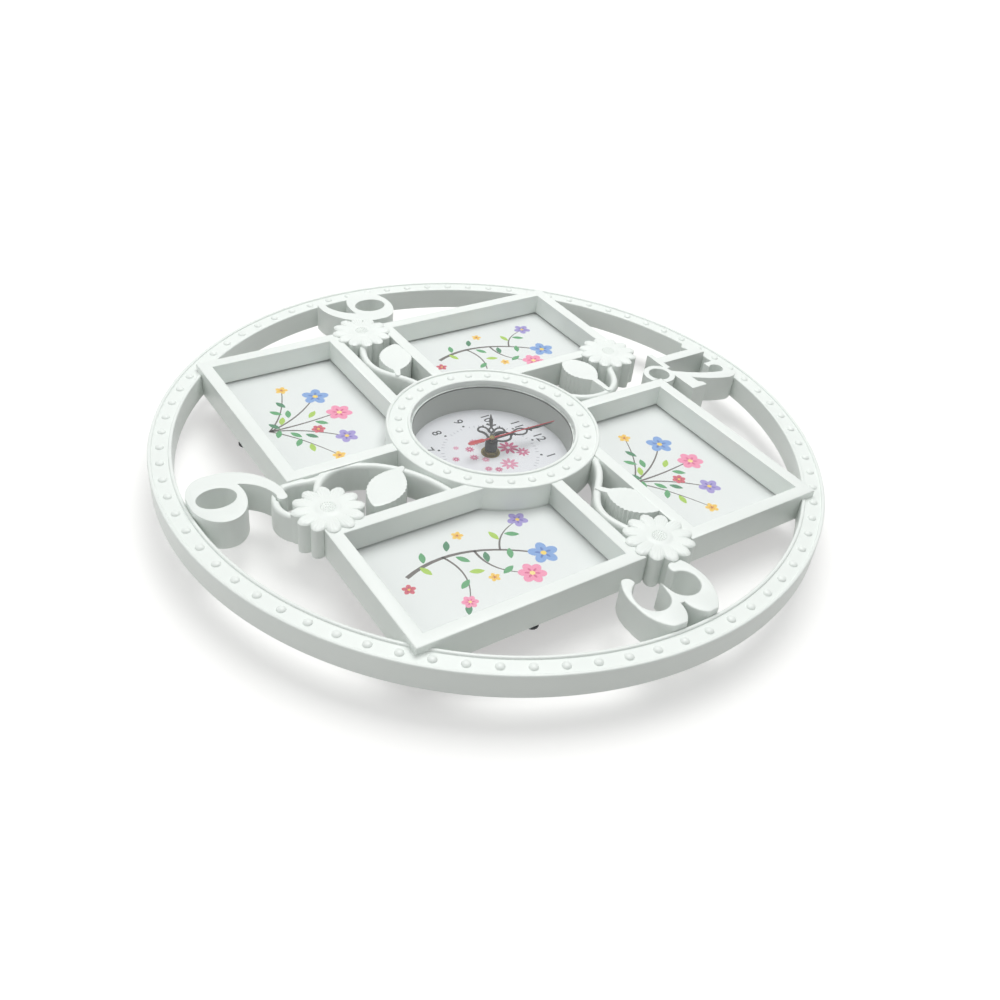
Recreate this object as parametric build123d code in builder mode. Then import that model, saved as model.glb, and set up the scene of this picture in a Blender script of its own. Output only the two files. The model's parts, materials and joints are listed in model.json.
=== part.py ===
"""Round photo frame wall clock: four photo frames in a beaded ring, with a quartz movement. Millimetres.

The clock lies on its back: +Z comes out of the dial, +Y points to 12 and +X to 3.
The origin is the middle of the back, on the plane that the movement rests on.
"""

import os
from math import atan2, cos, degrees, pi, radians, sin

from build123d import *

os.makedirs("parts", exist_ok=True)

# Levels of the moulding and the dial
case_depth = 16.0  # quartz movement, front to back
dial_plate_thickness = 2.0
dial_face_thickness = 0.4
dial_drop = 21.4  # ring top down to the dial
ring_depth = 17.8
frame_rise = 4.3  # frame rims above the ring top
bezel_rise = 5.0
wall = 2.0  # moulded wall thickness

dial_level = case_depth + dial_plate_thickness + dial_face_thickness
ring_top = dial_level + dial_drop
back_level = ring_top - ring_depth
frame_top = ring_top + frame_rise
bezel_top = ring_top + bezel_rise

# Outer ring
ring_radius = 245.0
ring_band = 16.4
ring_lip = 2.6  # width of each raised lip
channel_drop = 1.3  # floor of the bead channel below the lips
lip_chamfer = 0.7
bead_count = 78
bead_sides = 6
bead_radius = 3.0
bead_rise = 1.6
bead_crown = 0.55  # top of a bead as a share of its foot

ring_inner = ring_radius - ring_band
ring_middle = ring_radius - ring_band / 2

# Photo frames, sized for 10 x 15 cm prints, with their outer corners in the ring
opening_length = 150.0
opening_width = 99.0
corner_inset = 8.6  # frame corners, in from the ring's outer edge
corner_bearing = 43.63  # degrees, from 3 o'clock to the corner at the upper right
rim = 9.4
rim_chamfer = 0.5
rebate = 2.2  # ledge in front of the pane
pane_drop = 17.1  # rim top down to the pane
pane_thickness = 1.5
insert_thickness = 0.5
fit_clearance = 0.2

corner_radius = ring_radius - corner_inset
frame_outer_x = corner_radius * cos(radians(corner_bearing))
frame_outer_y = corner_radius * sin(radians(corner_bearing))
frame_edge_x = frame_outer_x - rim  # outer edges of the openings
frame_edge_y = frame_outer_y - rim

# Dial bezel and the well of the dial
bezel_radius = 79.4
well_radius = 59.5
well_wall = 3.5
seat_width = 1.7  # ledges for the lens and for the dial plate
lens_thickness = 1.5
lens_drop = 3.6  # bezel top down to the lens
bezel_lip = 2.4
bezel_bead_count = 29
bezel_bead_radius = 2.9
bezel_bead_start = 1.9  # degrees

# Numerals, drawn on a grid and hung on the inside of the ring
numeral_grid = 1.0
one_shift = -20.5  # middle of each digit, beside the line from 12 to 6 or from 9 to 3
two_shift = 11.0
six_shift = -5.5
nine_shift = 4.3
six_inset = 18.1  # middle of the bowl, in from the ring
nine_inset = 24.3

# Flower sprays
petal_count = 12
petal_reach = 24.0
petal_length = 15.6
petal_width = 10.6
flower_core_radius = 17.5
flower_cap = 1.8  # petals above the frame rims
petal_start = 15.0  # degrees
flower_eye_radius = 8.6
flower_eye_crown = 5.6  # radius of the eye at its top
flower_eye_rise = 1.6
flower_dish_radius = 3.6  # hollow in the middle of the eye
flower_dish_depth = 1.0
stem_width = 5.6
stem_rise = 3.0  # above the ring top
leaf_width = 24.0
leaf_drop = 0.4  # below the frame rims
leaf_teeth = 6  # on each side
leaf_tooth_depth = 1.2
stalk_width = 4.0
strand_steps = 8  # points along each side of a stem

stem_top = ring_top + stem_rise
leaf_top = frame_top - leaf_drop

# Turn buttons behind the frames
button_length = 24.0
button_width = 9.0
button_thickness = 1.5
button_gap = 0.3
screw_radius = 1.3
screw_length = 9.0
screw_head_radius = 2.8
screw_head_height = 1.2
boss_radius = 3.4
running_clearance = 0.05

# Hands
hour_hand_level = dial_level + 10.6
hand_pitch = 1.3  # from one hand up to the next
hand_thickness = 0.5
hour_hand_length = 36.0
minute_hand_length = 55.0
second_hand_length = 57.0
second_tail_length = 20.5
second_paddle_length = 14.0
second_paddle_width = 4.0
second_tip = 0.3  # half width at the point
hand_bar_width = 1.4
hub_width = 2.2
hour_angle = 302.0  # degrees clockwise from 12
minute_angle = 1.5
second_angle = 1.5
hand_cap_radius = 2.2
hand_cap_height = 0.9

minute_hand_level = hour_hand_level + hand_pitch
second_hand_level = minute_hand_level + hand_pitch

# Coaxial arbor and tubes at the centre of the dial
second_arbor_radius = 0.5
minute_tube_radius = 1.5
hour_tube_radius = 2.6
bush_radius = 4.2
washer_radius = 7.2
washer_thickness = 0.8
nut_flats = 10.6
nut_height = 2.4
bush_drop = 1.0  # bush top below the hour hand

# Quartz movement
case_side = 56.0
case_wall = 1.5
case_front = 1.2
case_corner = 3.0
cover_thickness = 2.0
bay_height = 15.0  # battery bay, across the battery
battery_radius = 7.25
battery_length = 50.5
battery_nub_radius = 2.7
battery_nub_length = 1.2
contact_thickness = 0.4
ear_width = 16.0
ear_reach = 6.0  # case edge to the hanging hole
ear_thickness = 2.5
hanger_radius = 3.5

# Gear train: wheel levels from the back, tooth counts and modules
wheel_thickness = 0.9
level_step = 3.2
level_second = 4.7
level_third = 6.2
level_minute = 7.7
bridge_level = 8.95
bridge_thickness = 0.5
level_motion = 9.8
level_hour = 11.4
second_teeth = 48
second_pinion_teeth = 8
third_teeth = 60
third_pinion_teeth = 8
minute_teeth = 64
minute_pinion_teeth = 10
motion_teeth = 30
motion_pinion_teeth = 8
hour_teeth = 32
setting_teeth = 14
step_teeth = 40
step_pinion_teeth = 8
rotor_teeth = 8
motion_module = 0.4  # minute pinion, motion wheel, hour wheel and setting pinion
step_module = 0.4  # rotor pinion to step wheel
second_module = 0.36  # step pinion to second wheel
third_module = 0.3  # second pinion to third wheel
addendum = 0.75  # of the module
dedendum = 1.15
tooth_root_share = 0.50  # tooth width as a share of the pitch, at the root and at the tip
tooth_tip_share = 0.22
arbor_radius = 0.5
pivot_depth = 0.8
pivot_end_gap = 0.3
third_bearing = 62.0  # directions of the arbors, in degrees from 3 o'clock
motion_bearing = 8.0
setting_bearing = -6.0
step_bearing = 158.0
rotor_bearing = 118.0
rotor_magnet_radius = 2.6
rotor_magnet_level = 5.2
rotor_magnet_height = 2.4
rotor_gap = 0.4
stator_level = 6.0
stator_thickness = 0.8
stator_left = -24.0
stator_right = -6.0
stator_bottom = 7.0
stator_end = 24.0
stator_leg = 4.0
stator_slot_depth = 6.4
coil_radius = 2.4
coil_core_width = 3.0
coil_end_gap = 0.5
knob_radius = 6.4
knob_height = 3.2
knob_recess = 0.4
knob_flutes = 18
knob_flute_radius = 0.6
knob_gap = 0.3
post_radius = 1.5
post_inset = 3.0  # posts, in from the edges of the bridge
rotor_post_offset = 5.8  # post beside the rotor
bridge_left = -17.0
bridge_right = 21.0
bridge_end = 15.0
bridge_bay_gap = 2.0  # bridge to the wall of the battery bay
circuit_left = 5.0
circuit_right = 25.0
circuit_bottom = 13.0
circuit_end = 25.5
circuit_thickness = 1.0


def save(builder, name):
    builder.part.label = name
    export_step(builder.part, f"parts/{name}.step")


# Each frame: middle of its opening and the opening's size. Two lie across and two stand, in a pinwheel
landscape_x = frame_edge_x - opening_length / 2
landscape_y = frame_edge_y - opening_width / 2
portrait_x = frame_edge_x - opening_width / 2
portrait_y = frame_edge_y - opening_length / 2
frames = {
    "upper_right": (landscape_x, landscape_y, opening_length, opening_width),
    "lower_right": (portrait_x, -portrait_y, opening_width, opening_length),
    "lower_left": (-landscape_x, -landscape_y, opening_length, opening_width),
    "upper_left": (-portrait_x, portrait_y, opening_width, opening_length),
}


def frame_outlines(mode=Mode.SUBTRACT):
    """Outer outlines of the four frames, in the sketch that calls it."""
    for x, y, width, height in frames.values():
        with Locations((x, y)):
            Rectangle(width + 2 * rim, height + 2 * rim, mode=mode)


def bead_row(level, row_radius, count, start, radius):
    """Ring of studs with sloping sides, in the part that calls it."""
    slope = degrees(atan2(radius * (1 - bead_crown), bead_rise))
    with BuildSketch(Plane.XY.offset(level)) as feet:
        with PolarLocations(row_radius, count, start_angle=start):
            RegularPolygon(radius, bead_sides)
    extrude(feet.sketch, amount=bead_rise, taper=slope)


# Outer ring: hollow behind, two lips with a bead channel between them, notched for the frame corners
bead_step = 360 / bead_count
with BuildPart() as outer_ring:
    with BuildSketch(Plane.XZ) as profile:
        with Locations((ring_middle, ring_top - ring_depth / 2)):
            Rectangle(ring_band, ring_depth)
        with Locations((ring_middle, ring_top)):
            Rectangle(ring_band - 2 * ring_lip, 2 * channel_drop, mode=Mode.SUBTRACT)
        with Locations((ring_middle, back_level)):
            hollow = ring_depth - channel_drop - wall
            Rectangle(ring_band - 2 * wall, 2 * hollow, mode=Mode.SUBTRACT)
        lips = profile.vertices().group_by(Axis.Y)[-1].sort_by(Axis.X)
        chamfer((lips[0], lips[-1]), lip_chamfer)
    revolve(axis=Axis.Z)
    with BuildSketch(Plane.XY.offset(back_level)):
        frame_outlines(mode=Mode.ADD)
    extrude(amount=frame_top - back_level, mode=Mode.SUBTRACT)
    bead_row(ring_top - channel_drop, ring_middle, bead_count, bead_step / 2 - corner_bearing, bead_radius)
save(outer_ring, "outer_ring")

# Dial bezel: beaded top, outer wall, and the well with ledges for the lens and the dial plate
bezel_middle = (well_radius + seat_width + bezel_radius) / 2
bezel_channel = bezel_radius - well_radius - seat_width - 2 * bezel_lip
with BuildPart() as dial_bezel:
    with BuildSketch(Plane.XZ) as profile:
        with Locations(((well_radius + bezel_radius) / 2, (back_level + bezel_top) / 2)):
            Rectangle(bezel_radius - well_radius, bezel_top - back_level)
        with Locations((well_radius + well_wall / 2, (case_depth + back_level) / 2)):
            Rectangle(well_wall, back_level - case_depth)
        hollow_inner = well_radius + well_wall
        hollow_outer = bezel_radius - wall
        with Locations(((hollow_inner + hollow_outer) / 2, back_level)):
            hollow = bezel_top - back_level - channel_drop - wall
            Rectangle(hollow_outer - hollow_inner, 2 * hollow, mode=Mode.SUBTRACT)
        with Locations((bezel_middle, bezel_top)):
            Rectangle(bezel_channel, 2 * channel_drop, mode=Mode.SUBTRACT)
        with Locations((well_radius, bezel_top)):
            Rectangle(2 * seat_width, 2 * (lens_drop + lens_thickness), mode=Mode.SUBTRACT)
        with Locations((well_radius, case_depth)):
            Rectangle(2 * seat_width, 2 * (dial_level - case_depth), mode=Mode.SUBTRACT)
        lips = profile.vertices().group_by(Axis.Y)[-1].sort_by(Axis.X)
        chamfer((lips[0], lips[-1]), lip_chamfer)
    revolve(axis=Axis.Z)
    bead_row(bezel_top - channel_drop, bezel_middle, bezel_bead_count, bezel_bead_start, bezel_bead_radius)
save(dial_bezel, "dial_bezel")

# Photo frames with pane, insert, backing board and turn buttons
pane_level = frame_top - pane_drop
insert_level = pane_level - pane_thickness
board_level = insert_level - insert_thickness
rim_middle = rebate + wall + (rim - rebate - 2 * wall) / 2
rim_hollow = rim - rebate - 2 * wall
button_top = back_level - button_gap
screw_head_top = button_top - button_thickness - button_gap


def button_places(x, y, width, height):
    """Pivots of a frame's two turn buttons, at the middles of its long sides, and where each arm points."""
    if width > height:
        reach = height / 2 + rim_middle
        return (x, y + reach, -90), (x, y - reach, 90)
    reach = width / 2 + rim_middle
    return (x + reach, y, 180), (x - reach, y, 0)


def sheet(name, x, y, width, height, top, thickness):
    """Flat rectangle in a frame, with its inner corner cut round the bezel."""
    with BuildPart() as part:
        with BuildSketch(Plane.XY.offset(top)):
            with Locations((x, y)):
                Rectangle(width, height)
            Circle(bezel_radius + fit_clearance, mode=Mode.SUBTRACT)
        extrude(amount=-thickness)
    save(part, name)


screw_places = []
for place, (x, y, width, height) in frames.items():
    pivots = button_places(x, y, width, height)
    screw_places.extend((px, py) for px, py, _ in pivots)
    with BuildPart() as photo_frame:
        with BuildSketch(Plane.XY.offset(back_level)):
            with Locations((x, y)):
                Rectangle(width + 2 * rim, height + 2 * rim)
                Rectangle(width, height, mode=Mode.SUBTRACT)
            Circle(bezel_radius, mode=Mode.SUBTRACT)
        extrude(amount=frame_top - back_level)
        chamfer(photo_frame.faces().sort_by(Axis.Z)[-1].edges(), rim_chamfer)
        with BuildSketch(Plane.XY.offset(back_level)):
            with Locations((x, y)):
                Rectangle(width + 2 * rebate, height + 2 * rebate)
        extrude(amount=pane_level - back_level, mode=Mode.SUBTRACT)
        with BuildSketch(Plane.XY.offset(back_level)):
            with Locations((x, y)):
                Rectangle(width + 2 * (rim - wall), height + 2 * (rim - wall))
                Rectangle(width + 2 * (rebate + wall), height + 2 * (rebate + wall), mode=Mode.SUBTRACT)
            Circle(bezel_radius + wall, mode=Mode.SUBTRACT)
            with Locations(*((px, py) for px, py, _ in pivots)):
                Circle(boss_radius, mode=Mode.SUBTRACT)
        extrude(amount=frame_top - wall - back_level, mode=Mode.SUBTRACT)
        with BuildSketch(Plane.XY.offset(back_level)):
            with Locations(*((px, py) for px, py, _ in pivots)):
                Circle(screw_radius)
        extrude(amount=screw_length, mode=Mode.SUBTRACT)
    save(photo_frame, f"photo_frame_{place}")

    sheet_width = width + 2 * (rebate - fit_clearance)
    sheet_height = height + 2 * (rebate - fit_clearance)
    board_thickness = board_level - back_level
    sheet(f"photo_pane_{place}", x, y, sheet_width, sheet_height, pane_level, pane_thickness)
    sheet(f"photo_insert_{place}", x, y, sheet_width, sheet_height, insert_level, insert_thickness)
    sheet(f"backing_board_{place}", x, y, sheet_width, sheet_height, board_level, board_thickness)

    for letter, (px, py, bearing) in zip("ab", pivots):
        arm = Plane((px, py, button_top), x_dir=(cos(radians(bearing)), sin(radians(bearing)), 0))
        with BuildPart() as turn_button:
            with BuildSketch(arm):
                with Locations(((button_length - button_width) / 2, 0)):
                    SlotOverall(button_length, button_width)
                Circle(screw_radius + running_clearance, mode=Mode.SUBTRACT)
            extrude(amount=-button_thickness)
        save(turn_button, f"turn_button_{place}_{letter}")

with BuildPart() as turn_button_screws:
    with BuildSketch(Plane.XY.offset(screw_head_top - screw_head_height)):
        with Locations(*screw_places):
            Circle(screw_head_radius)
    extrude(amount=screw_head_height)
    with BuildSketch(Plane.XY.offset(screw_head_top)):
        with Locations(*screw_places):
            Circle(screw_radius)
    extrude(amount=back_level + screw_length - screw_head_top)
save(turn_button_screws, "turn_button_screws")

# Flower sprays grow in the gaps between the frames. Each gap runs from the bezel out to the frames' outer
# edges, and from one frame across to the next: the two x limits, then the two y limits
landscape_inner = frame_edge_x - opening_length - rim
portrait_inner = frame_edge_x - opening_width - rim
portrait_low = frame_edge_y - opening_length - rim
landscape_low = frame_edge_y - opening_width - rim
gaps = {
    "twelve": (-portrait_inner, landscape_inner, bezel_radius, frame_outer_y),
    "three": (bezel_radius, frame_outer_x, -portrait_low, landscape_low),
    "six": (-landscape_inner, portrait_inner, -bezel_radius, -frame_outer_y),
    "nine": (-bezel_radius, -frame_outer_x, -landscape_low, portrait_low),
}

# The flower, the stem up to it from the bezel, the leaf from base to tip, and its stalk from the stem into
# the leaf, as shares of the gap along x and y
growth = {
    "twelve": {
        "flower": [(0.08, 0.81)],
        "stem": [(0.67, -0.04), (0.89, 0.15), (0.9, 0.39), (0.71, 0.57), (0.31, 0.7), (0.08, 0.81)],
        "leaf": [(0.62, 0.39), (-0.07, 0.33)],
        "stalk": [(0.9, 0.39), (0.53, 0.38)],
    },
    "three": {
        "flower": [(0.88, 0.49)],
        "stem": [(-0.19, 0.97), (0.01, 0.82), (0.2, 0.44), (0.43, 0.13), (0.66, 0.24), (0.88, 0.49)],
        "leaf": [(0.25, 0.54), (0.63, 0.99)],
        "stalk": [(0.2, 0.44), (0.31, 0.64)],
    },
    "six": {
        "flower": [(0.71, 0.87)],
        "stem": [(0.98, -0.12), (0.35, 0.09), (0.02, 0.39), (0.02, 0.68), (0.33, 0.84), (0.71, 0.87)],
        "leaf": [(0.35, 0.12), (0.89, 0.53)],
        "stalk": [(0.35, 0.09), (0.47, 0.21)],
    },
    "nine": {
        "flower": [(0.91, 0.51)],
        "stem": [(-0.04, 0.64), (0.15, 0.41), (0.31, 0.18), (0.47, 0.13), (0.72, 0.31), (0.91, 0.51)],
        "leaf": [(0.21, 0.44), (0.62, 0.94)],
        "stalk": [(0.15, 0.41), (0.29, 0.54)],
    },
}


def in_gap(hour, points):
    """Points given as shares of a gap, in millimetres."""
    start_x, end_x, start_y, end_y = gaps[hour]
    return [Vector(start_x + (end_x - start_x) * x, start_y + (end_y - start_y) * y) for x, y in points]


sprays = {}
for hour, shares in growth.items():
    sprays[hour] = {piece: in_gap(hour, points) for piece, points in shares.items()}

# The spray at 6 also has a tendril, from the flower under the numeral's tail and back to the stem
six_bowl = Vector(six_shift, six_inset - ring_inner)
tendril_bends = [six_bowl + Vector(*bend) * numeral_grid for bend in ((15.5, 33.5), (5.5, 41.5))]
tendril_rise = in_gap("six", [(0.05, 0.85)])  # beside the frame
tendril = [sprays["six"]["flower"][0], *tendril_bends, *tendril_rise, sprays["six"]["stem"][3]]


def strand(points, width, mode=Mode.ADD):
    """Line of even width with round ends through the points, in the sketch that calls it."""
    with BuildLine(mode=Mode.PRIVATE):
        middle = Spline(*points)
    stations = [step / strand_steps for step in range(strand_steps + 1)]
    left = [middle @ t + (middle % t).rotate(Axis.Z, 90) * (width / 2) for t in stations]
    right = [middle @ t - (middle % t).rotate(Axis.Z, 90) * (width / 2) for t in stations]
    with BuildLine() as edge:
        Spline(*left)
        ThreePointArc(left[-1], middle @ 1 + (middle % 1) * (width / 2), right[-1])
        Spline(*right)
        ThreePointArc(right[0], middle @ 0 - (middle % 0) * (width / 2), left[0])
    make_face(edge.edges(), mode=mode)


def flower_outline(middle, mode=Mode.ADD):
    with Locations(middle):
        Circle(flower_core_radius, mode=mode)
        with PolarLocations(petal_reach - petal_length / 2, petal_count, start_angle=petal_start):
            Ellipse(petal_length / 2, petal_width / 2, mode=mode)


def leaf_outline(base, tip):
    """Pointed oval with a saw-tooth edge, in the sketch that calls it."""
    across = (tip - base).normalized().rotate(Axis.Z, 90)
    steps = 2 * leaf_teeth
    right = []
    left = []
    for step in range(steps):
        middle = base + (tip - base) * (step / steps)
        swell = leaf_width / 2 * sin(pi * step / steps) + leaf_tooth_depth * (step % 2)
        right.append(middle - across * swell)
        left.append(middle + across * swell)
    Polygon(*right, tip, *reversed(left[1:]), align=None)


def clear_of_moulding():
    """Trims the sketch that calls it back to the bezel, the frames and the ring."""
    Circle(bezel_radius, mode=Mode.SUBTRACT)
    frame_outlines()
    Circle(ring_inner, mode=Mode.INTERSECT)


# Outlines of the numerals on the grid, from the point where each stands: 12 and 3 on the inside of the ring,
# 6 and 9 at the middle of the bowl
bowl_outer = (25.5, 18.7)  # half width and half height
bowl_inner = (10.4, 13.2)


def arcs(*points):
    """Closed chain of arcs, each given by a point on the way and its end. No way point makes a line."""
    with BuildLine() as edge:
        here = points[0]
        for way, there in zip(points[1::2], points[2::2]):
            if way is None:
                Line(here, there)
            else:
                ThreePointArc(here, way, there)
            here = there
    make_face(edge.edges())


def six_outline():
    """Bowl with an upright counter, and a tail that sweeps up from its left side to a round terminal."""
    Ellipse(*bowl_outer)
    arcs(
        (-25.4, 1.5),
        (-16.5, 28.5),
        (15.5, 41.6),
        (19.6, 38.4),
        (14, 35.4),
        (-2.5, 27),
        (-9.5, 15),
        None,
        (-25.4, 1.5),
    )
    Ellipse(*bowl_inner, mode=Mode.SUBTRACT)


def three_outline():
    """Two open bowls with round terminals on the left."""
    arcs(
        (-45.6, 24),
        (-18.6, 26.5),
        (1.4, 13),
        (-3.1, 4),
        (-14.6, 0),
        None,
        (-14.6, -3),
        (-3.6, -7),
        (2.4, -15),
        (-9.6, -27),
        (-25.6, -30),
        (-38.6, -28.5),
        (-47.6, -23.5),
        (-47.1, -18),
        (-41.6, -17),
        (-33.6, -25.5),
        (-25.6, -27),
        (-15.1, -14.5),
        (-25.6, -4),
        None,
        (-35.1, -2.2),
        None,
        (-25.6, -0.7),
        (-16.6, 11),
        (-27.6, 22),
        (-35.1, 19.5),
        (-38.1, 13),
        (-43.6, 12),
        (-46.6, 17),
        None,
        (-45.6, 24),
    )


def one_outline():
    """Upright with a flag, and a foot that runs on into the loop beside it."""
    Polygon(
        (-4.5, -46.6),
        (4.5, -46.6),
        (4.5, 0.4),
        (-4.5, 0.4),
        (-15.5, -8.6),
        (-9.5, -14.6),
        (-4.5, -11.6),
        align=None,
    )
    Polygon((-11.5, -51.6), (12.5, -51.6), (12.5, -46.6), (-11.5, -46.6), align=None)


def two_outline():
    """Arch that runs out into the ring, slanting neck, thick foot with a spike, and a loop below."""
    arcs(
        (-5, -15.1),
        None,
        (-12, -15.1),
        None,
        (-12, -6.6),
        (1, 4.4),
        (14, -12.6),
        (6, -32.6),
        (-9, -50.6),
        None,
        (-15, -50.6),
        (-3, -31.6),
        (4, -12.6),
        (-0.5, -5.1),
        (-5, -15.1),
    )
    Polygon((-11, -51.6), (15, -51.6), (15, -36.6), (11, -36.6), (8, -40.1), (-7, -40.1), align=None)
    with Locations((-14.5, -62.6)):
        Circle(13)
        Circle(8.5, mode=Mode.SUBTRACT)


def stand(outline, place, turn=0, mode=Mode.ADD):
    """Puts a numeral's outline on its place, in the sketch that calls it."""
    with BuildSketch(mode=Mode.PRIVATE) as shape:
        outline()
    with Locations(Location((*place, 0), (0, 0, turn))):
        add(scale(shape.sketch_local, by=numeral_grid, mode=Mode.PRIVATE), mode=mode)


six_place = (six_bowl.X, six_bowl.Y)
for hour, spray in sprays.items():
    with BuildPart() as flower_spray:
        with BuildSketch(Plane.XY.offset(back_level)):
            strand(spray["stem"], stem_width)
            if hour == "six":
                strand(tendril, stem_width)
                stand(six_outline, six_place, mode=Mode.SUBTRACT)
            clear_of_moulding()
        extrude(amount=stem_top - back_level)
        with BuildSketch(Plane.XY.offset(back_level)):
            leaf_outline(*spray["leaf"])
            strand(spray["stalk"], stalk_width)
            clear_of_moulding()
        extrude(amount=leaf_top - back_level)
        with BuildSketch(Plane.XY.offset(back_level)):
            flower_outline(*spray["flower"])
            clear_of_moulding()
        extrude(amount=frame_top - back_level)
        with BuildSketch(Plane.XY.offset(frame_top)):
            flower_outline(*spray["flower"])
        extrude(amount=flower_cap)
        middle = spray["flower"][0]
        upright = (Align.CENTER, Align.CENTER, Align.MIN)
        hanging = (Align.CENTER, Align.CENTER, Align.MAX)
        dish_floor = flower_dish_radius / 2
        with Locations(middle + Vector(0, 0, frame_top + flower_cap)):
            Cone(flower_eye_radius, flower_eye_crown, flower_eye_rise, align=upright)
        with Locations(middle + Vector(0, 0, frame_top + flower_cap + flower_eye_rise)):
            Cone(dish_floor, flower_dish_radius, flower_dish_depth, align=hanging, mode=Mode.SUBTRACT)
    save(flower_spray, f"flower_spray_{hour}")


def numeral(name, *outlines):
    """Raises the outlines, given with where they stand and how they are turned, to the frame rims."""
    with BuildPart() as part:
        with BuildSketch(Plane.XY.offset(back_level)):
            for outline, place, turn in outlines:
                stand(outline, place, turn)
            for spray in sprays.values():
                flower_outline(*spray["flower"], mode=Mode.SUBTRACT)
            clear_of_moulding()
        extrude(amount=frame_top - back_level)
    save(part, f"numeral_{name}")


numeral("twelve", (two_outline, (two_shift, ring_inner), 0), (one_outline, (one_shift, ring_inner), 0))
numeral("three", (three_outline, (ring_inner, 0), 0))
numeral("six", (six_outline, six_place, 0))
numeral("nine", (six_outline, (nine_inset - ring_inner, nine_shift), 180))


def disc(axis, bottom, top, radius, mode=Mode.ADD):
    """Upright cylinder between two levels, in the part that calls it."""
    with BuildSketch(Plane.XY.offset(bottom)) as profile:
        with Locations(axis):
            Circle(radius)
    extrude(profile.sketch, amount=top - bottom, mode=mode)


# Lens, dial and the fastening of the movement
centre = (0, 0)
seat_radius = well_radius + seat_width - fit_clearance
lens_level = bezel_top - lens_drop
bush_top = hour_hand_level - bush_drop
nut_level = dial_level + washer_thickness

with BuildPart() as dial_lens:
    disc(centre, lens_level - lens_thickness, lens_level, seat_radius)
save(dial_lens, "dial_lens")

with BuildPart() as dial_face:
    disc(centre, dial_level - dial_face_thickness, dial_level, seat_radius)
    disc(centre, 0, bezel_top, bush_radius + fit_clearance, mode=Mode.SUBTRACT)
save(dial_face, "dial_face")

with BuildPart() as dial_plate:
    disc(centre, case_depth, dial_level - dial_face_thickness, seat_radius)
    disc(centre, 0, bezel_top, bush_radius + fit_clearance, mode=Mode.SUBTRACT)
save(dial_plate, "dial_plate")

with BuildPart() as dial_washer:
    disc(centre, dial_level, nut_level, washer_radius)
    disc(centre, 0, bezel_top, bush_radius + fit_clearance, mode=Mode.SUBTRACT)
save(dial_washer, "dial_washer")

with BuildPart() as dial_nut:
    with BuildSketch(Plane.XY.offset(nut_level)):
        RegularPolygon(nut_flats / 2, 6, major_radius=False)
        Circle(bush_radius, mode=Mode.SUBTRACT)
    extrude(amount=nut_height)
save(dial_nut, "dial_nut")


# Hands, drawn pointing up and turned to the time on the dial
def hand_plane(level, angle):
    return Plane((0, 0, level), x_dir=(cos(radians(angle)), -sin(radians(angle)), 0))


def filigree_hand(name, level, angle, length, tube_radius, rings, diamond, spear):
    """Pierced hand: pairs of rings along a bar, a diamond and a spear point, as shares of its length."""
    with BuildPart() as part:
        with BuildSketch(hand_plane(level, angle)):
            for side, along, outer, inner in rings:
                with Locations((side * length, along * length), (-side * length, along * length)):
                    Circle(outer * length)
                with Locations((side * length, along * length), (-side * length, along * length)):
                    Circle(inner * length, mode=Mode.SUBTRACT)
            spear_start, spear_width = spear
            with Locations((0, spear_start * length / 2)):
                Rectangle(hand_bar_width, spear_start * length)
            middle, half_width, half_height = diamond
            Polygon(
                (0, (middle - half_height) * length),
                (half_width * length, middle * length),
                (0, (middle + half_height) * length),
                (-half_width * length, middle * length),
                align=None,
            )
            shoulder = (spear_start + (1 - spear_start) / 6) * length
            Polygon(
                (0, spear_start * length - hand_bar_width),
                (spear_width * length / 2, shoulder),
                (0, length),
                (-spear_width * length / 2, shoulder),
                align=None,
            )
            Circle(tube_radius + hub_width)
            Circle(tube_radius, mode=Mode.SUBTRACT)
        extrude(amount=hand_thickness)
    save(part, name)


filigree_hand(
    "hour_hand",
    hour_hand_level,
    hour_angle,
    hour_hand_length,
    hour_tube_radius,
    rings=[(0.144, 0.306, 0.139, 0.094)],
    diamond=(0.514, 0.078, 0.083),
    spear=(0.583, 0.139),
)
filigree_hand(
    "minute_hand",
    minute_hand_level,
    minute_angle,
    minute_hand_length,
    minute_tube_radius,
    rings=[(0.076, 0.164, 0.084, 0.055), (0.047, 0.491, 0.047, 0.027)],
    diamond=(0.345, 0.04, 0.055),
    spear=(0.564, 0.065),
)

with BuildPart() as second_hand:
    with BuildSketch(hand_plane(second_hand_level, second_angle)):
        foot = hand_bar_width / 2
        Polygon(
            (-foot, 0),
            (foot, 0),
            (second_tip, second_hand_length),
            (-second_tip, second_hand_length),
            align=None,
        )
        tail_bar = second_tail_length - second_paddle_length / 2
        with Locations((0, -tail_bar / 2)):
            Rectangle(hand_bar_width, tail_bar)
        with Locations((0, second_paddle_length / 2 - second_tail_length)):
            SlotOverall(second_paddle_length, second_paddle_width, rotation=90)
        Circle(hand_cap_radius)
        Circle(second_arbor_radius, mode=Mode.SUBTRACT)
    extrude(amount=hand_thickness)
save(second_hand, "second_hand")

second_arbor_top = second_hand_level + hand_thickness
with BuildPart() as hand_cap:
    disc(centre, second_arbor_top, second_arbor_top + hand_cap_height, hand_cap_radius)
    chamfer(hand_cap.edges().group_by(Axis.Z)[-1], hand_cap_height / 2)
save(hand_cap, "hand_cap")


# Gear train: arbor places and the phase that lets each pair of teeth mesh
def away(start, bearing, distance):
    return start[0] + distance * cos(radians(bearing)), start[1] + distance * sin(radians(bearing))


def mesh_phase(phase, teeth, bearing, next_teeth):
    """Phase of a gear so that a gap of it faces a tooth of the gear it meshes with."""
    ahead = (phase - bearing) * teeth / 360
    return bearing + 180 + (0.5 - ahead) * 360 / next_teeth


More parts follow.
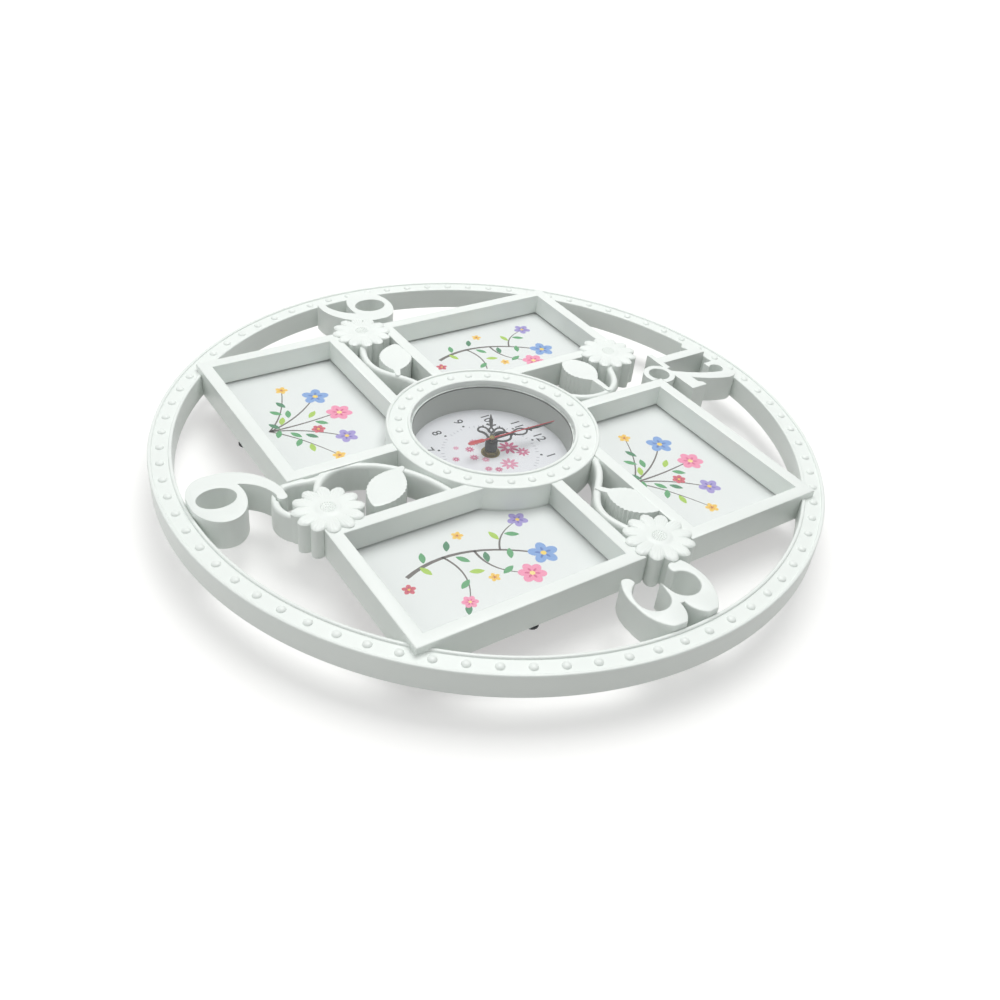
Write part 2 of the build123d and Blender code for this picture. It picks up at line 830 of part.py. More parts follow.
def gear(axis, level, teeth, module, phase):
    """Toothed disc with the middle of one tooth at the phase angle, in the part that calls it."""
    root = module * (teeth / 2 - dedendum)
    tip = module * (teeth / 2 + addendum)
    corners = (
        (root, -tooth_root_share),
        (tip, -tooth_tip_share),
        (tip, tooth_tip_share),
        (root, tooth_root_share),
    )
    points = []
    for tooth in range(teeth):
        for radius, share in corners:
            angle = radians(phase) + (tooth + share / 2) * 2 * pi / teeth
            points.append((radius * cos(angle), radius * sin(angle)))
    with BuildSketch(Plane.XY.offset(level)) as profile:
        with Locations(axis):
            Polygon(*points, align=None)
    extrude(profile.sketch, amount=wheel_thickness)


third_distance = third_module * (second_pinion_teeth + third_teeth) / 2
minute_module = 2 * third_distance / (third_pinion_teeth + minute_teeth)
third_axis = away(centre, third_bearing, third_distance)
motion_axis = away(centre, motion_bearing, motion_module * (minute_pinion_teeth + motion_teeth) / 2)
setting_axis = away(motion_axis, setting_bearing, motion_module * (motion_teeth + setting_teeth) / 2)
step_axis = away(centre, step_bearing, second_module * (second_teeth + step_pinion_teeth) / 2)
rotor_axis = away(step_axis, rotor_bearing, step_module * (step_teeth + rotor_teeth) / 2)

third_phase = mesh_phase(0, second_pinion_teeth, third_bearing, third_teeth)
minute_phase = mesh_phase(0, third_pinion_teeth, third_bearing + 180, minute_teeth)
motion_phase = mesh_phase(0, minute_pinion_teeth, motion_bearing, motion_teeth)
hour_phase = mesh_phase(0, motion_pinion_teeth, motion_bearing + 180, hour_teeth)
setting_phase = mesh_phase(motion_phase, motion_teeth, setting_bearing, setting_teeth)
step_phase = mesh_phase(0, second_teeth, step_bearing, step_pinion_teeth)
rotor_phase = mesh_phase(0, step_teeth, rotor_bearing, rotor_teeth)

pivot_bottom = cover_thickness - pivot_depth
bridge_top = bridge_level + bridge_thickness
case_inside = case_depth - case_front
pivot_top = case_inside + pivot_depth
pivot_hole = arbor_radius + running_clearance

with BuildPart() as second_wheel:
    disc(centre, pivot_bottom, second_arbor_top, second_arbor_radius)
    gear(centre, level_second, second_teeth, second_module, 0)
    gear(centre, level_third, second_pinion_teeth, third_module, 0)
save(second_wheel, "second_wheel")

with BuildPart() as third_wheel:
    disc(third_axis, pivot_bottom, bridge_top, arbor_radius)
    gear(third_axis, level_third, third_teeth, third_module, third_phase)
    gear(third_axis, level_minute, third_pinion_teeth, minute_module, 0)
save(third_wheel, "third_wheel")

with BuildPart() as minute_wheel:
    disc(centre, level_minute, minute_hand_level + hand_thickness, minute_tube_radius)
    gear(centre, level_minute, minute_teeth, minute_module, minute_phase)
    gear(centre, level_motion, minute_pinion_teeth, motion_module, 0)
    disc(centre, 0, bezel_top, second_arbor_radius + running_clearance, mode=Mode.SUBTRACT)
save(minute_wheel, "minute_wheel")

with BuildPart() as motion_wheel:
    disc(motion_axis, bridge_level, pivot_top, arbor_radius)
    gear(motion_axis, level_motion, motion_teeth, motion_module, motion_phase)
    gear(motion_axis, level_hour, motion_pinion_teeth, motion_module, 0)
save(motion_wheel, "motion_wheel")

with BuildPart() as hour_wheel:
    disc(centre, level_hour, hour_hand_level + hand_thickness, hour_tube_radius)
    gear(centre, level_hour, hour_teeth, motion_module, hour_phase)
    disc(centre, 0, bezel_top, minute_tube_radius + running_clearance, mode=Mode.SUBTRACT)
save(hour_wheel, "hour_wheel")

with BuildPart() as step_wheel:
    disc(step_axis, pivot_bottom, bridge_top, arbor_radius)
    gear(step_axis, level_step, step_teeth, step_module, 0)
    gear(step_axis, level_second, step_pinion_teeth, second_module, step_phase)
save(step_wheel, "step_wheel")

with BuildPart() as rotor:
    disc(rotor_axis, pivot_bottom, bridge_top, arbor_radius)
    gear(rotor_axis, level_step, rotor_teeth, step_module, rotor_phase)
    disc(rotor_axis, rotor_magnet_level, rotor_magnet_level + rotor_magnet_height, rotor_magnet_radius)
save(rotor, "rotor")

with BuildPart() as setting_knob:
    with BuildSketch(Plane.XY.offset(knob_recess)):
        with Locations(setting_axis):
            RegularPolygon(knob_radius, knob_flutes)
            with PolarLocations(knob_radius, knob_flutes):
                RegularPolygon(knob_flute_radius, 4, mode=Mode.SUBTRACT)
    extrude(amount=knob_height)
    disc(setting_axis, knob_recess, pivot_top, arbor_radius)
    gear(setting_axis, level_motion, setting_teeth, motion_module, setting_phase)
save(setting_knob, "setting_knob")

# Movement case: cavity, battery bay open at the back, posts, threaded bush and hanging ear
case_half = case_side / 2 - case_wall
bay_top = bay_height - case_half
bay_middle = (bay_top - case_half) / 2
bridge_bottom = bay_top + bridge_bay_gap
bridge_posts = (
    (bridge_left + post_inset, bridge_bottom + post_inset),
    (bridge_right - post_inset, bridge_bottom + post_inset),
    (bridge_right - post_inset, bridge_end - post_inset),
    (rotor_axis[0] + rotor_post_offset, bridge_end - post_inset),
)
stator_top = stator_level + stator_thickness
stator_posts = (
    (stator_left + stator_leg / 2, stator_bottom + stator_leg / 2),
    (stator_left + stator_leg / 2, stator_bottom + 2 * stator_leg),
)
coil_axis_y = stator_end - coil_core_width

with BuildPart() as movement_case:
    with BuildSketch(Plane.XY.offset(cover_thickness)):
        RectangleRounded(case_side, case_side, case_corner)
    extrude(amount=case_depth - cover_thickness)
    with BuildSketch(Plane.XY.offset(cover_thickness)):
        Rectangle(2 * case_half, 2 * case_half)
        with Locations((0, bay_top + case_wall / 2)):
            Rectangle(2 * case_half, case_wall, mode=Mode.SUBTRACT)
    extrude(amount=case_inside - cover_thickness, mode=Mode.SUBTRACT)
    for post in bridge_posts:
        disc(post, bridge_top, case_inside, post_radius)
    for post in stator_posts:
        disc(post, stator_top, case_inside, post_radius)
    disc(centre, case_inside, bush_top, bush_radius)
    disc(centre, case_inside, bush_top, hour_tube_radius + running_clearance, mode=Mode.SUBTRACT)
    for axis in (motion_axis, setting_axis):
        disc(axis, case_inside, pivot_top + pivot_end_gap, pivot_hole, mode=Mode.SUBTRACT)
    with BuildSketch(Plane.XY.offset(cover_thickness)):
        with Locations((0, case_side / 2 + ear_reach / 2)):
            Rectangle(ear_width, ear_reach)
        with Locations((0, case_side / 2 + ear_reach)):
            Circle(ear_width / 2)
            Circle(hanger_radius, mode=Mode.SUBTRACT)
        Rectangle(case_side, case_side, mode=Mode.SUBTRACT)
    extrude(amount=ear_thickness)
save(movement_case, "movement_case")

with BuildPart() as movement_cover:
    with BuildSketch():
        RectangleRounded(case_side, case_side, case_corner)
        with Locations((0, bay_middle)):
            Rectangle(2 * case_half, bay_height, mode=Mode.SUBTRACT)
        with Locations(setting_axis):
            Circle(knob_radius + knob_gap, mode=Mode.SUBTRACT)
    extrude(amount=cover_thickness)
    for axis in (centre, third_axis, step_axis, rotor_axis):
        disc(axis, pivot_bottom - pivot_end_gap, cover_thickness, pivot_hole, mode=Mode.SUBTRACT)
save(movement_cover, "movement_cover")

with BuildPart() as train_bridge:
    with BuildSketch(Plane.XY.offset(bridge_level)):
        with Locations(((bridge_left + bridge_right) / 2, (bridge_bottom + bridge_end) / 2)):
            RectangleRounded(bridge_right - bridge_left, bridge_end - bridge_bottom, post_radius)
        Circle(minute_tube_radius + running_clearance, mode=Mode.SUBTRACT)
        with Locations(third_axis, motion_axis, setting_axis, step_axis, rotor_axis):
            Circle(pivot_hole, mode=Mode.SUBTRACT)
    extrude(amount=bridge_thickness)
save(train_bridge, "train_bridge")

with BuildPart() as stator:
    with BuildSketch(Plane.XY.offset(stator_level)):
        with Locations(((stator_left + stator_right) / 2, (stator_bottom + stator_end) / 2)):
            Rectangle(stator_right - stator_left, stator_end - stator_bottom)
        with Locations(((stator_left + stator_right) / 2, stator_end)):
            Rectangle(stator_right - stator_left - 2 * stator_leg, 2 * stator_slot_depth, mode=Mode.SUBTRACT)
        with Locations(rotor_axis):
            Circle(rotor_magnet_radius + rotor_gap, mode=Mode.SUBTRACT)
    extrude(amount=stator_thickness)
save(stator, "stator")

with BuildPart() as coil:
    with BuildSketch(Plane.XY.offset(stator_top)):
        with Locations(((stator_left + stator_right) / 2, coil_axis_y)):
            Rectangle(stator_right - stator_left, coil_core_width)
    extrude(amount=stator_thickness)
    coil_length = stator_right - stator_left - 2 * (stator_leg + coil_end_gap)
    coil_middle = ((stator_left + stator_right) / 2, coil_axis_y, stator_top + stator_thickness / 2)
    with Locations(coil_middle):
        Cylinder(coil_radius, coil_length, rotation=(0, 90, 0))
save(coil, "coil")

with BuildPart() as circuit_board:
    with BuildSketch(Plane.XY.offset(cover_thickness)):
        with Locations(((circuit_left + circuit_right) / 2, (circuit_bottom + circuit_end) / 2)):
            Rectangle(circuit_right - circuit_left, circuit_end - circuit_bottom)
    extrude(amount=circuit_thickness)
save(circuit_board, "circuit_board")

# Battery against the front wall of its bay, and the contacts at its ends
battery_level = case_inside - battery_radius
can_length = battery_length - battery_nub_length
with BuildPart() as battery:
    with Locations((-battery_nub_length / 2, bay_middle, battery_level)):
        Cylinder(battery_radius, can_length, rotation=(0, 90, 0))
    with Locations((can_length / 2, bay_middle, battery_level)):
        Cylinder(battery_nub_radius, battery_nub_length, rotation=(0, 90, 0))
save(battery, "battery")

contact_reach = case_half - contact_thickness - battery_length / 2
with BuildPart() as battery_contacts:
    for side in (-1, 1):
        with Locations((side * (case_half - contact_thickness / 2), bay_middle, battery_level)):
            Box(contact_thickness, battery_radius, battery_radius)
        with Locations((side * (battery_length / 2 + contact_reach / 2), bay_middle, battery_level)):
            Cylinder(battery_nub_radius * 0.7, contact_reach, rotation=(0, 90, 0))
save(battery_contacts, "battery_contacts")
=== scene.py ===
import json
from math import atan2, copysign, cos, degrees, pi, radians, sin, sqrt

import bmesh
import bpy
from mathutils import Matrix, Vector
from mathutils.bvhtree import BVHTree


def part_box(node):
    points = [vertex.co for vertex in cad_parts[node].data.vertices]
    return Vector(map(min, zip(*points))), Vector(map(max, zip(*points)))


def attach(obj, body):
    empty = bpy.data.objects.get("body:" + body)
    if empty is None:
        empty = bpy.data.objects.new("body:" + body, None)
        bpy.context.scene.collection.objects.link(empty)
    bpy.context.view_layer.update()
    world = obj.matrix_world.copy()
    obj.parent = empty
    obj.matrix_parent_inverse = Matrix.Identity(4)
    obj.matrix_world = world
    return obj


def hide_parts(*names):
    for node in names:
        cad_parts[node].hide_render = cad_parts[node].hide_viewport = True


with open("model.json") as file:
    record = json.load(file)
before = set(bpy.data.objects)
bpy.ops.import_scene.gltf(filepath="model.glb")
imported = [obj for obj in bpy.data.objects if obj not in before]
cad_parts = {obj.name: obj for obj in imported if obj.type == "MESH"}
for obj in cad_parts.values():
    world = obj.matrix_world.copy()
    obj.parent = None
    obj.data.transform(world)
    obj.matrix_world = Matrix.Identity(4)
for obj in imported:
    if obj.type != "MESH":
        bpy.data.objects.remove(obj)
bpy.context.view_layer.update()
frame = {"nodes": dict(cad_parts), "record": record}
scene = bpy.context.scene
mm = 0.001
body = "clock_body"  # everything that doesn't turn
places = ("upper_right", "lower_right", "lower_left", "upper_left")
hours = ("twelve", "three", "six", "nine")
# heights in mm above the plane that the clock rests on
level = dict(back=22.0, dial=18.4, ring=39.8, stem=42.8, leaf=43.7, rim=44.1, bezel=44.8)
cornerBearing = 43.63  # degrees, from 3 o'clock to the frames' outer corners
# in mm: points within weld of each other are one, within sliver of the top are at the top, within near of a
# level lie on it, and within contact of a piece touch it
weld, sliver, near, contact = 0.002, 0.01, 0.02, 0.05
convexTurn = radians(20)  # an edge that turns more than this is rounded
print("frame loaded:", len(frame["nodes"]), "nodes")


# Helpers for materials and meshes

def linear(hexText):
    parts = [int(hexText[i:i + 2], 16) / 255 for i in (1, 3, 5)]
    return tuple(c / 12.92 if c <= 0.04045 else ((c + 0.055) / 1.055) ** 2.4 for c in parts) + (1.0,)


def addNode(tree, kind, settings=(), inputs=()):
    node = tree.nodes.new(kind)
    for key, value in dict(settings).items():
        setattr(node, key, value)
    for key, value in dict(inputs).items():
        if isinstance(value, bpy.types.NodeSocket):
            tree.links.new(value, node.inputs[key])
        else:
            node.inputs[key].default_value = value
    return node


def startMaterial(name):
    material = bpy.data.materials.new(name)
    material.use_nodes = True
    tree = material.node_tree
    tree.nodes.clear()
    shader = addNode(tree, "ShaderNodeBsdfPrincipled")
    addNode(tree, "ShaderNodeOutputMaterial", inputs={"Surface": shader.outputs["BSDF"]})
    coords = addNode(tree, "ShaderNodeTexCoord")
    return material, tree, shader, coords.outputs["Object"]


grainDepth = 0.1  # mm


def patterned(name, look):
    # two close colours in soft patches of patchMm, and a fine surface of grainMm that breaks the gloss
    material, tree, shader, coords = startMaterial(name)
    patch = addNode(tree, "ShaderNodeTexNoise", inputs={
        "Vector": coords, "Scale": 1 / (look["patchMm"] * mm), "Detail": 3.0})
    grain = addNode(tree, "ShaderNodeTexNoise", inputs={
        "Vector": coords, "Scale": 1 / (look["grainMm"] * mm), "Detail": 2.0})
    colour = addNode(tree, "ShaderNodeMix", {"data_type": "RGBA"}, {
        "Factor": patch.outputs["Fac"], 6: linear(look["light"]), 7: linear(look["dark"])})
    gloss = addNode(tree, "ShaderNodeMapRange", inputs={
        "Value": grain.outputs["Fac"],
        "To Min": look["roughness"] - look["spread"], "To Max": look["roughness"] + look["spread"]})
    bump = addNode(tree, "ShaderNodeBump", inputs={
        "Height": grain.outputs["Fac"], "Strength": look["bump"], "Distance": grainDepth * mm})
    tree.links.new(colour.outputs[2], shader.inputs["Base Color"])
    tree.links.new(gloss.outputs["Result"], shader.inputs["Roughness"])
    tree.links.new(bump.outputs["Normal"], shader.inputs["Normal"])
    for key, value in look.get("sockets", {}).items():
        shader.inputs[key].default_value = value
    return material


smoothBelow = radians(32)  # faces that meet at less are shaded as one


def finishPiece(bm, name, material, nodes=(), rider=body):
    mesh = bpy.data.meshes.new(name)
    bm.to_mesh(mesh)
    bm.free()
    mesh.polygons.foreach_set("use_smooth", [True] * len(mesh.polygons))
    mesh.set_sharp_from_angle(angle=smoothBelow)
    mesh.materials.append(material)
    piece = bpy.data.objects.new(name, mesh)
    scene.collection.objects.link(piece)
    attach(piece, rider)
    if nodes:
        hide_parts(*nodes)
    return piece


flatTurn = radians(0.5)


def mergedCopy(node):
    # welded copy of a CAD node's mesh, with its flat faces joined again
    bm = bmesh.new()
    bm.from_mesh(frame["nodes"][node].data)
    bmesh.ops.remove_doubles(bm, verts=bm.verts[:], dist=weld * mm)
    bmesh.ops.dissolve_limit(bm, angle_limit=flatTurn, verts=bm.verts[:], edges=bm.edges[:])
    return bm


def roundEdges(bm, heightMm, widthMm, segments, keep=None):
    # rounds the convex edges that lie at one height, all of them or those that keep picks
    edges = []
    for edge in bm.edges:
        flat = all(abs(vert.co.z - heightMm * mm) < near * mm for vert in edge.verts)
        if flat and len(edge.link_faces) == 2 and edge.calc_face_angle_signed(0) > convexTurn:
            if keep is None or keep(edge):
                edges.append(edge)
    bmesh.ops.bevel(bm, geom=edges, offset=widthMm * mm, segments=segments, profile=0.5,
                    affect="EDGES", material=-1, clamp_overlap=True)


def joinInto(bm, other):
    shape = bpy.data.meshes.new("joined")
    other.to_mesh(shape)
    other.free()
    bm.from_mesh(shape)
    bpy.data.meshes.remove(shape)


def turnedProfile(points, steps):
    # closed section in mm (radius, height), spun round the dial's axis
    bm = bmesh.new()
    verts = [bm.verts.new((r * mm, 0, z * mm)) for r, z in points]
    edges = [bm.edges.new((a, b)) for a, b in zip(verts, verts[1:] + verts[:1])]
    bmesh.ops.spin(bm, geom=verts + edges, cent=(0, 0, 0), axis=(0, 0, 1), angle=2 * pi, steps=steps,
                   use_merge=True)
    bmesh.ops.remove_doubles(bm, verts=bm.verts[:], dist=weld * mm)
    bmesh.ops.recalc_face_normals(bm, faces=bm.faces[:])
    return bm


beadMesh = dict(u_segments=12, v_segments=8)


def addBeads(bm, row, floor, start):
    # half-round beads on the channel floor, the first at start degrees
    beads = bmesh.new()
    for index in range(row["count"]):
        angle = radians(start + index * 360 / row["count"])
        foot = Vector((row["radius"] * cos(angle), row["radius"] * sin(angle), floor))
        size = Matrix.Diagonal((row["bead"] * mm, row["bead"] * mm, row["rise"] * mm, 1))
        bmesh.ops.create_uvsphere(beads, **beadMesh, radius=1, matrix=Matrix.Translation(foot * mm) @ size)
    bmesh.ops.bisect_plane(beads, geom=beads.verts[:] + beads.edges[:] + beads.faces[:], clear_outer=True,
                           plane_co=(0, 0, (floor - row["sunk"]) * mm), plane_no=(0, 0, -1))
    joinInto(bm, beads)


# Materials

# injection-moulded ABS: white, satin from the mould, a little uneven in gloss
whiteAbs = dict(
    light="#F0F5F1", dark="#E8EEEA", patchMm=35, grainMm=1.2, roughness=0.36, spread=0.06, bump=0.05)
satinAbs = patterned("satinAbs", whiteAbs)
# moulded polypropylene of the movement: black, fine spark-eroded texture
sparkedBlack = patterned("sparkedBlack", dict(
    light="#2E3234", dark="#22262A", patchMm=9, grainMm=0.5, roughness=0.45, spread=0.08, bump=0.25))
# natural acetal of the wheels: milky and waxy
milkyAcetal = patterned("milkyAcetal", dict(
    light="#ECE6D6", dark="#E2DCCB", patchMm=4, grainMm=0.4, roughness=0.4, spread=0.05, bump=0.05))
# hardboard: brown pressed fibre, dull
hardboard = patterned("hardboard", dict(
    light="#8C6C4A", dark="#6F5337", patchMm=2.5, grainMm=0.6, roughness=0.85, spread=0.08, bump=0.5))
# lacquered steel hands: black and red, smooth
blackLacquer = patterned("blackLacquer", dict(
    light="#0B0B0C", dark="#151516", patchMm=6, grainMm=0.5, roughness=0.3, spread=0.06, bump=0.03))
redLacquer = patterned("redLacquer", dict(
    light="#C2202B", dark="#A81A25", patchMm=6, grainMm=0.5, roughness=0.3, spread=0.06, bump=0.03))
# plated brass, dulled to olive
dullBrass = patterned("dullBrass", dict(
    light="#8F8350", dark="#6E6337", patchMm=1.6, grainMm=0.25, roughness=0.34, spread=0.1, bump=0.1,
    sockets={"Metallic": 1.0}))
# zinc-plated steel
zincSteel = patterned("zincSteel", dict(
    light="#B9BCC0", dark="#9EA2A6", patchMm=3, grainMm=0.3, roughness=0.32, spread=0.08, bump=0.08,
    sockets={"Metallic": 1.0}))
# glass-fibre board under green lacquer
greenBoard = patterned("greenBoard", dict(
    light="#1F6B3F", dark="#185634", patchMm=3, grainMm=0.4, roughness=0.35, spread=0.06, bump=0.08))
# enamelled copper winding
copperWire = patterned("copperWire", dict(
    light="#B5632F", dark="#8A4520", patchMm=0.8, grainMm=0.2, roughness=0.35, spread=0.08, bump=0.3,
    sockets={"Metallic": 0.8}))
# plain shrink sleeve of the cell
cellSleeve = patterned("cellSleeve", dict(
    light="#3A3C40", dark="#303236", patchMm=8, grainMm=0.5, roughness=0.3, spread=0.05, bump=0.04))
# white styrene sheet of the dial plate
styrene = patterned("styrene", dict(
    light="#DEDEDA", dark="#D3D3CF", patchMm=15, grainMm=0.8, roughness=0.5, spread=0.06, bump=0.06))


def clearSheet(look):
    # extruded clear styrene: thin, see-through, faint handling haze in its gloss
    material, tree, shader, coords = startMaterial("clearSheet")
    haze = addNode(tree, "ShaderNodeTexNoise", inputs={
        "Vector": coords, "Scale": 1 / (look["hazeMm"] * mm), "Detail": 4.0})
    gloss = addNode(tree, "ShaderNodeMapRange", inputs={
        "Value": haze.outputs["Fac"], "To Min": look["roughness"][0], "To Max": look["roughness"][1]})
    tree.links.new(gloss.outputs["Result"], shader.inputs["Roughness"])
    shader.inputs["Base Color"].default_value = linear(look["colour"])
    shader.inputs["Alpha"].default_value = look["alpha"]
    shader.inputs["IOR"].default_value = look["ior"]
    return material


paper = dict(fibreMm=1.4, tone=(0.95, 1.03))


def printedPaper(name, roughness):
    # coated paper: the ink colour is painted on the faces, over a faint fibre mottle
    material, tree, shader, coords = startMaterial(name)
    ink = addNode(tree, "ShaderNodeVertexColor", {"layer_name": "ink"})
    fibre = addNode(tree, "ShaderNodeTexNoise", inputs={
        "Vector": coords, "Scale": 1 / (paper["fibreMm"] * mm), "Detail": 4.0})
    tone = addNode(tree, "ShaderNodeMapRange", inputs={
        "Value": fibre.outputs["Fac"], "To Min": paper["tone"][0], "To Max": paper["tone"][1]})
    colour = addNode(tree, "ShaderNodeMix", {"data_type": "RGBA", "blend_type": "MULTIPLY"}, {
        "Factor": 1.0, 6: ink.outputs["Color"], 7: tone.outputs["Result"]})
    tree.links.new(colour.outputs[2], shader.inputs["Base Color"])
    shader.inputs["Roughness"].default_value = roughness
    return material


def greyWell(look):
    # the bezel's ABS, with painted shade in the well: its wall painted grey for the shade that falls in the
    # deep well, and a darker band of painted shadow under the lens seat
    material = patterned("bezelAbs", look)
    tree = material.node_tree
    shader = next(node for node in tree.nodes if node.type == "BSDF_PRINCIPLED")
    white = shader.inputs["Base Color"].links[0].from_socket
    coords = next(node for node in tree.nodes if node.type == "TEX_COORD")
    flat = addNode(tree, "ShaderNodeVectorMath", {"operation": "MULTIPLY"}, {
        0: coords.outputs["Object"], 1: (1, 1, 0)})
    radius = addNode(tree, "ShaderNodeVectorMath", {"operation": "LENGTH"}, {0: flat.outputs[0]})
    inside = addNode(tree, "ShaderNodeMath", {"operation": "LESS_THAN"}, {
        0: radius.outputs["Value"], 1: look["wellMm"] * mm})
    height = addNode(tree, "ShaderNodeSeparateXYZ", inputs={0: coords.outputs["Object"]})
    above = addNode(tree, "ShaderNodeMath", {"operation": "GREATER_THAN"}, {
        0: height.outputs["Z"], 1: look["seatShadowMm"] * mm})
    # painted shade: grey on the well's wall, and a dark painted shadow in the band just under the lens seat
    paintedShade = addNode(tree, "ShaderNodeMix", {"data_type": "RGBA"}, {
        "Factor": above.outputs[0], 6: linear(look["well"]), 7: linear(look["gap"])})
    colour = addNode(tree, "ShaderNodeMix", {"data_type": "RGBA"}, {
        "Factor": inside.outputs[0], 6: white, 7: paintedShade.outputs[2]})
    tree.links.new(colour.outputs[2], shader.inputs["Base Color"])
    return material


# well and gap are painted colours: grey painted shade on the well's wall, and a dark painted shadow just
# under the lens seat
bezelAbs = greyWell(dict(whiteAbs, wellMm=59.9, well="#A6ABA5", seatShadowMm=38.7, gap="#4A4E4B"))
clearPane = clearSheet(dict(hazeMm=22, roughness=(0.03, 0.1), colour="#F4F8F8", alpha=0.05, ior=1.58))
insertPrint = printedPaper("insertPrint", 0.45)
dialPrint = printedPaper("dialPrint", 0.4)
print("materials ready")

# Ring and bezel

ring = dict(outer=244.9, inner=228.6, lip=2.6, drop=1.3, wall=2.0, soft=1.0, segments=4, steps=360,
            beads=dict(count=78, radius=236.8, bead=3.1, rise=1.7, sunk=0.05))
top, floor = level["ring"], level["ring"] - ring["drop"]
outerWall, innerWall = ring["outer"] - ring["wall"], ring["inner"] + ring["wall"]
ceiling = floor - ring["wall"]
section = [(ring["inner"], level["back"]), (ring["inner"], top), (ring["inner"] + ring["lip"], top),
           (ring["inner"] + ring["lip"], floor), (ring["outer"] - ring["lip"], floor),
           (ring["outer"] - ring["lip"], top), (ring["outer"], top), (ring["outer"], level["back"]),
           (outerWall, level["back"]), (outerWall, ceiling), (innerWall, ceiling),
           (innerWall, level["back"])]
bm = turnedProfile(section, ring["steps"])
roundEdges(bm, top, ring["soft"], ring["segments"])
# a frame's corner points between two beads
addBeads(bm, ring["beads"], floor, 180 / ring["beads"]["count"] - cornerBearing)
finishPiece(bm, "beadedRing", satinAbs, ["outer_ring"])

bezel = dict(outer=79.4, well=59.5, seat=1.7, lip=2.4, drop=1.3, wall=2.0, wellWall=3.5, lensFloor=39.7,
             soft=0.9, segments=4, steps=240, low=16.0, beadStart=1.9,
             beads=dict(count=29, radius=70.3, bead=3.0, rise=1.6, sunk=0.05))
top, floor = level["bezel"], level["bezel"] - bezel["drop"]
shoulder, outerWall = bezel["well"] + bezel["seat"], bezel["outer"] - bezel["wall"]
innerWall, ceiling = bezel["well"] + bezel["wellWall"], floor - bezel["wall"]
section = [(bezel["outer"], level["back"]), (bezel["outer"], top), (bezel["outer"] - bezel["lip"], top),
           (bezel["outer"] - bezel["lip"], floor), (shoulder + bezel["lip"], floor),
           (shoulder + bezel["lip"], top), (shoulder, top), (shoulder, bezel["lensFloor"]),
           (bezel["well"], bezel["lensFloor"]), (bezel["well"], level["dial"]), (shoulder, level["dial"]),
           (shoulder, bezel["low"]), (innerWall, bezel["low"]), (innerWall, ceiling), (outerWall, ceiling),
           (outerWall, level["back"])]
bm = turnedProfile(section, bezel["steps"])
roundEdges(bm, top, bezel["soft"], bezel["segments"])
addBeads(bm, bezel["beads"], floor, bezel["beadStart"])
finishPiece(bm, "beadedBezel", bezelAbs, ["dial_bezel"])
print("ring and bezel done")

# Frames and numerals: the CAD shapes with their edges rounded as the mould leaves them

frameEdge = dict(soft=0.7, segments=3)
numberEdge = dict(soft=0.9, segments=3)


def clearOfBezel(edge):
    # true for an edge that doesn't lie against the bezel
    return max(vert.co.xy.length for vert in edge.verts) > (bezel["outer"] + contact) * mm


for place in places:
    bm = mergedCopy("photo_frame_" + place)
    roundEdges(bm, level["rim"], frameEdge["soft"], frameEdge["segments"], clearOfBezel)
    finishPiece(bm, "frame_" + place, satinAbs, ["photo_frame_" + place])
for hour in hours:
    bm = mergedCopy("numeral_" + hour)
    roundEdges(bm, level["rim"], numberEdge["soft"], numberEdge["segments"])
    finishPiece(bm, "number_" + hour, satinAbs, ["numeral_" + hour])
print("frames and numerals done")

# Sprays: round-topped stems, ribbed leaves and a modelled daisy on each

# petalsFrom and brimFrom are shares of the way out, where the petals part and where their tips bend down.
# stations are the shares that get a row of points.
daisy = dict(petals=12, start=15, reach=24.0, length=15.6, width=10.6, steps=20, dome=0.3, edge=0.9,
             groove=0.9, ridge=0.15, ridges=5, eye=8.6, eyeRise=1.4, eyeSunk=0.2, dish=5.6, dishDrop=1.1,
             top=45.85, petalsFrom=0.36, brimFrom=0.88,
             stations=(0, 0.06, 0.12, 0.17, 0.22, 0.28, 0.33, 0.37, 0.42, 0.5, 0.58, 0.66, 0.74, 0.82, 0.88,
                       0.93, 0.97, 1))
seeds = dict(circles=3, each=6, pitch=1.6, size=0.6)  # in the eye's dish, each circle six more than the last
stemEdge = dict(radius=2.5, cuts=7)
# The solid's leaf is a saw-toothed oval from base to tip, in mm: width, tooth and steps are its own. The
# moulded one is blunter, with fine upright ribs.
leaf = dict(
    width=24.0, tooth=1.2, steps=12, near=0.03, cuts=5, swell=25.4, blunt=0.72, rib=0.6, ribs=12,
    soft=0.2, segments=2,
    ends=dict(twelve=((-18.83, 112.05), (-57.2, 107.03)), three=((102.33, 27.09), (137.18, 44.92)),
              six=((17.16, -89.45), (47.19, -123.77)), nine=((-98.66, -27.88), (-136.26, -8.06))))
frameBoxes = [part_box("photo_frame_" + place) for place in places]


def touchesMoulding(spot):
    # true for a point on or in a frame, the bezel or the ring
    gap = contact * mm
    for low, high in frameBoxes:
        if low.x - gap < spot.x < high.x + gap and low.y - gap < spot.y < high.y + gap:
            return True
    return spot.xy.length < bezel["outer"] * mm + gap or spot.xy.length > ring["inner"] * mm - gap


def clearOfMoulding(edge):
    # true for an edge that doesn't lie against a frame, the bezel or the ring
    return not touchesMoulding((edge.verts[0].co + edge.verts[1].co) / 2)


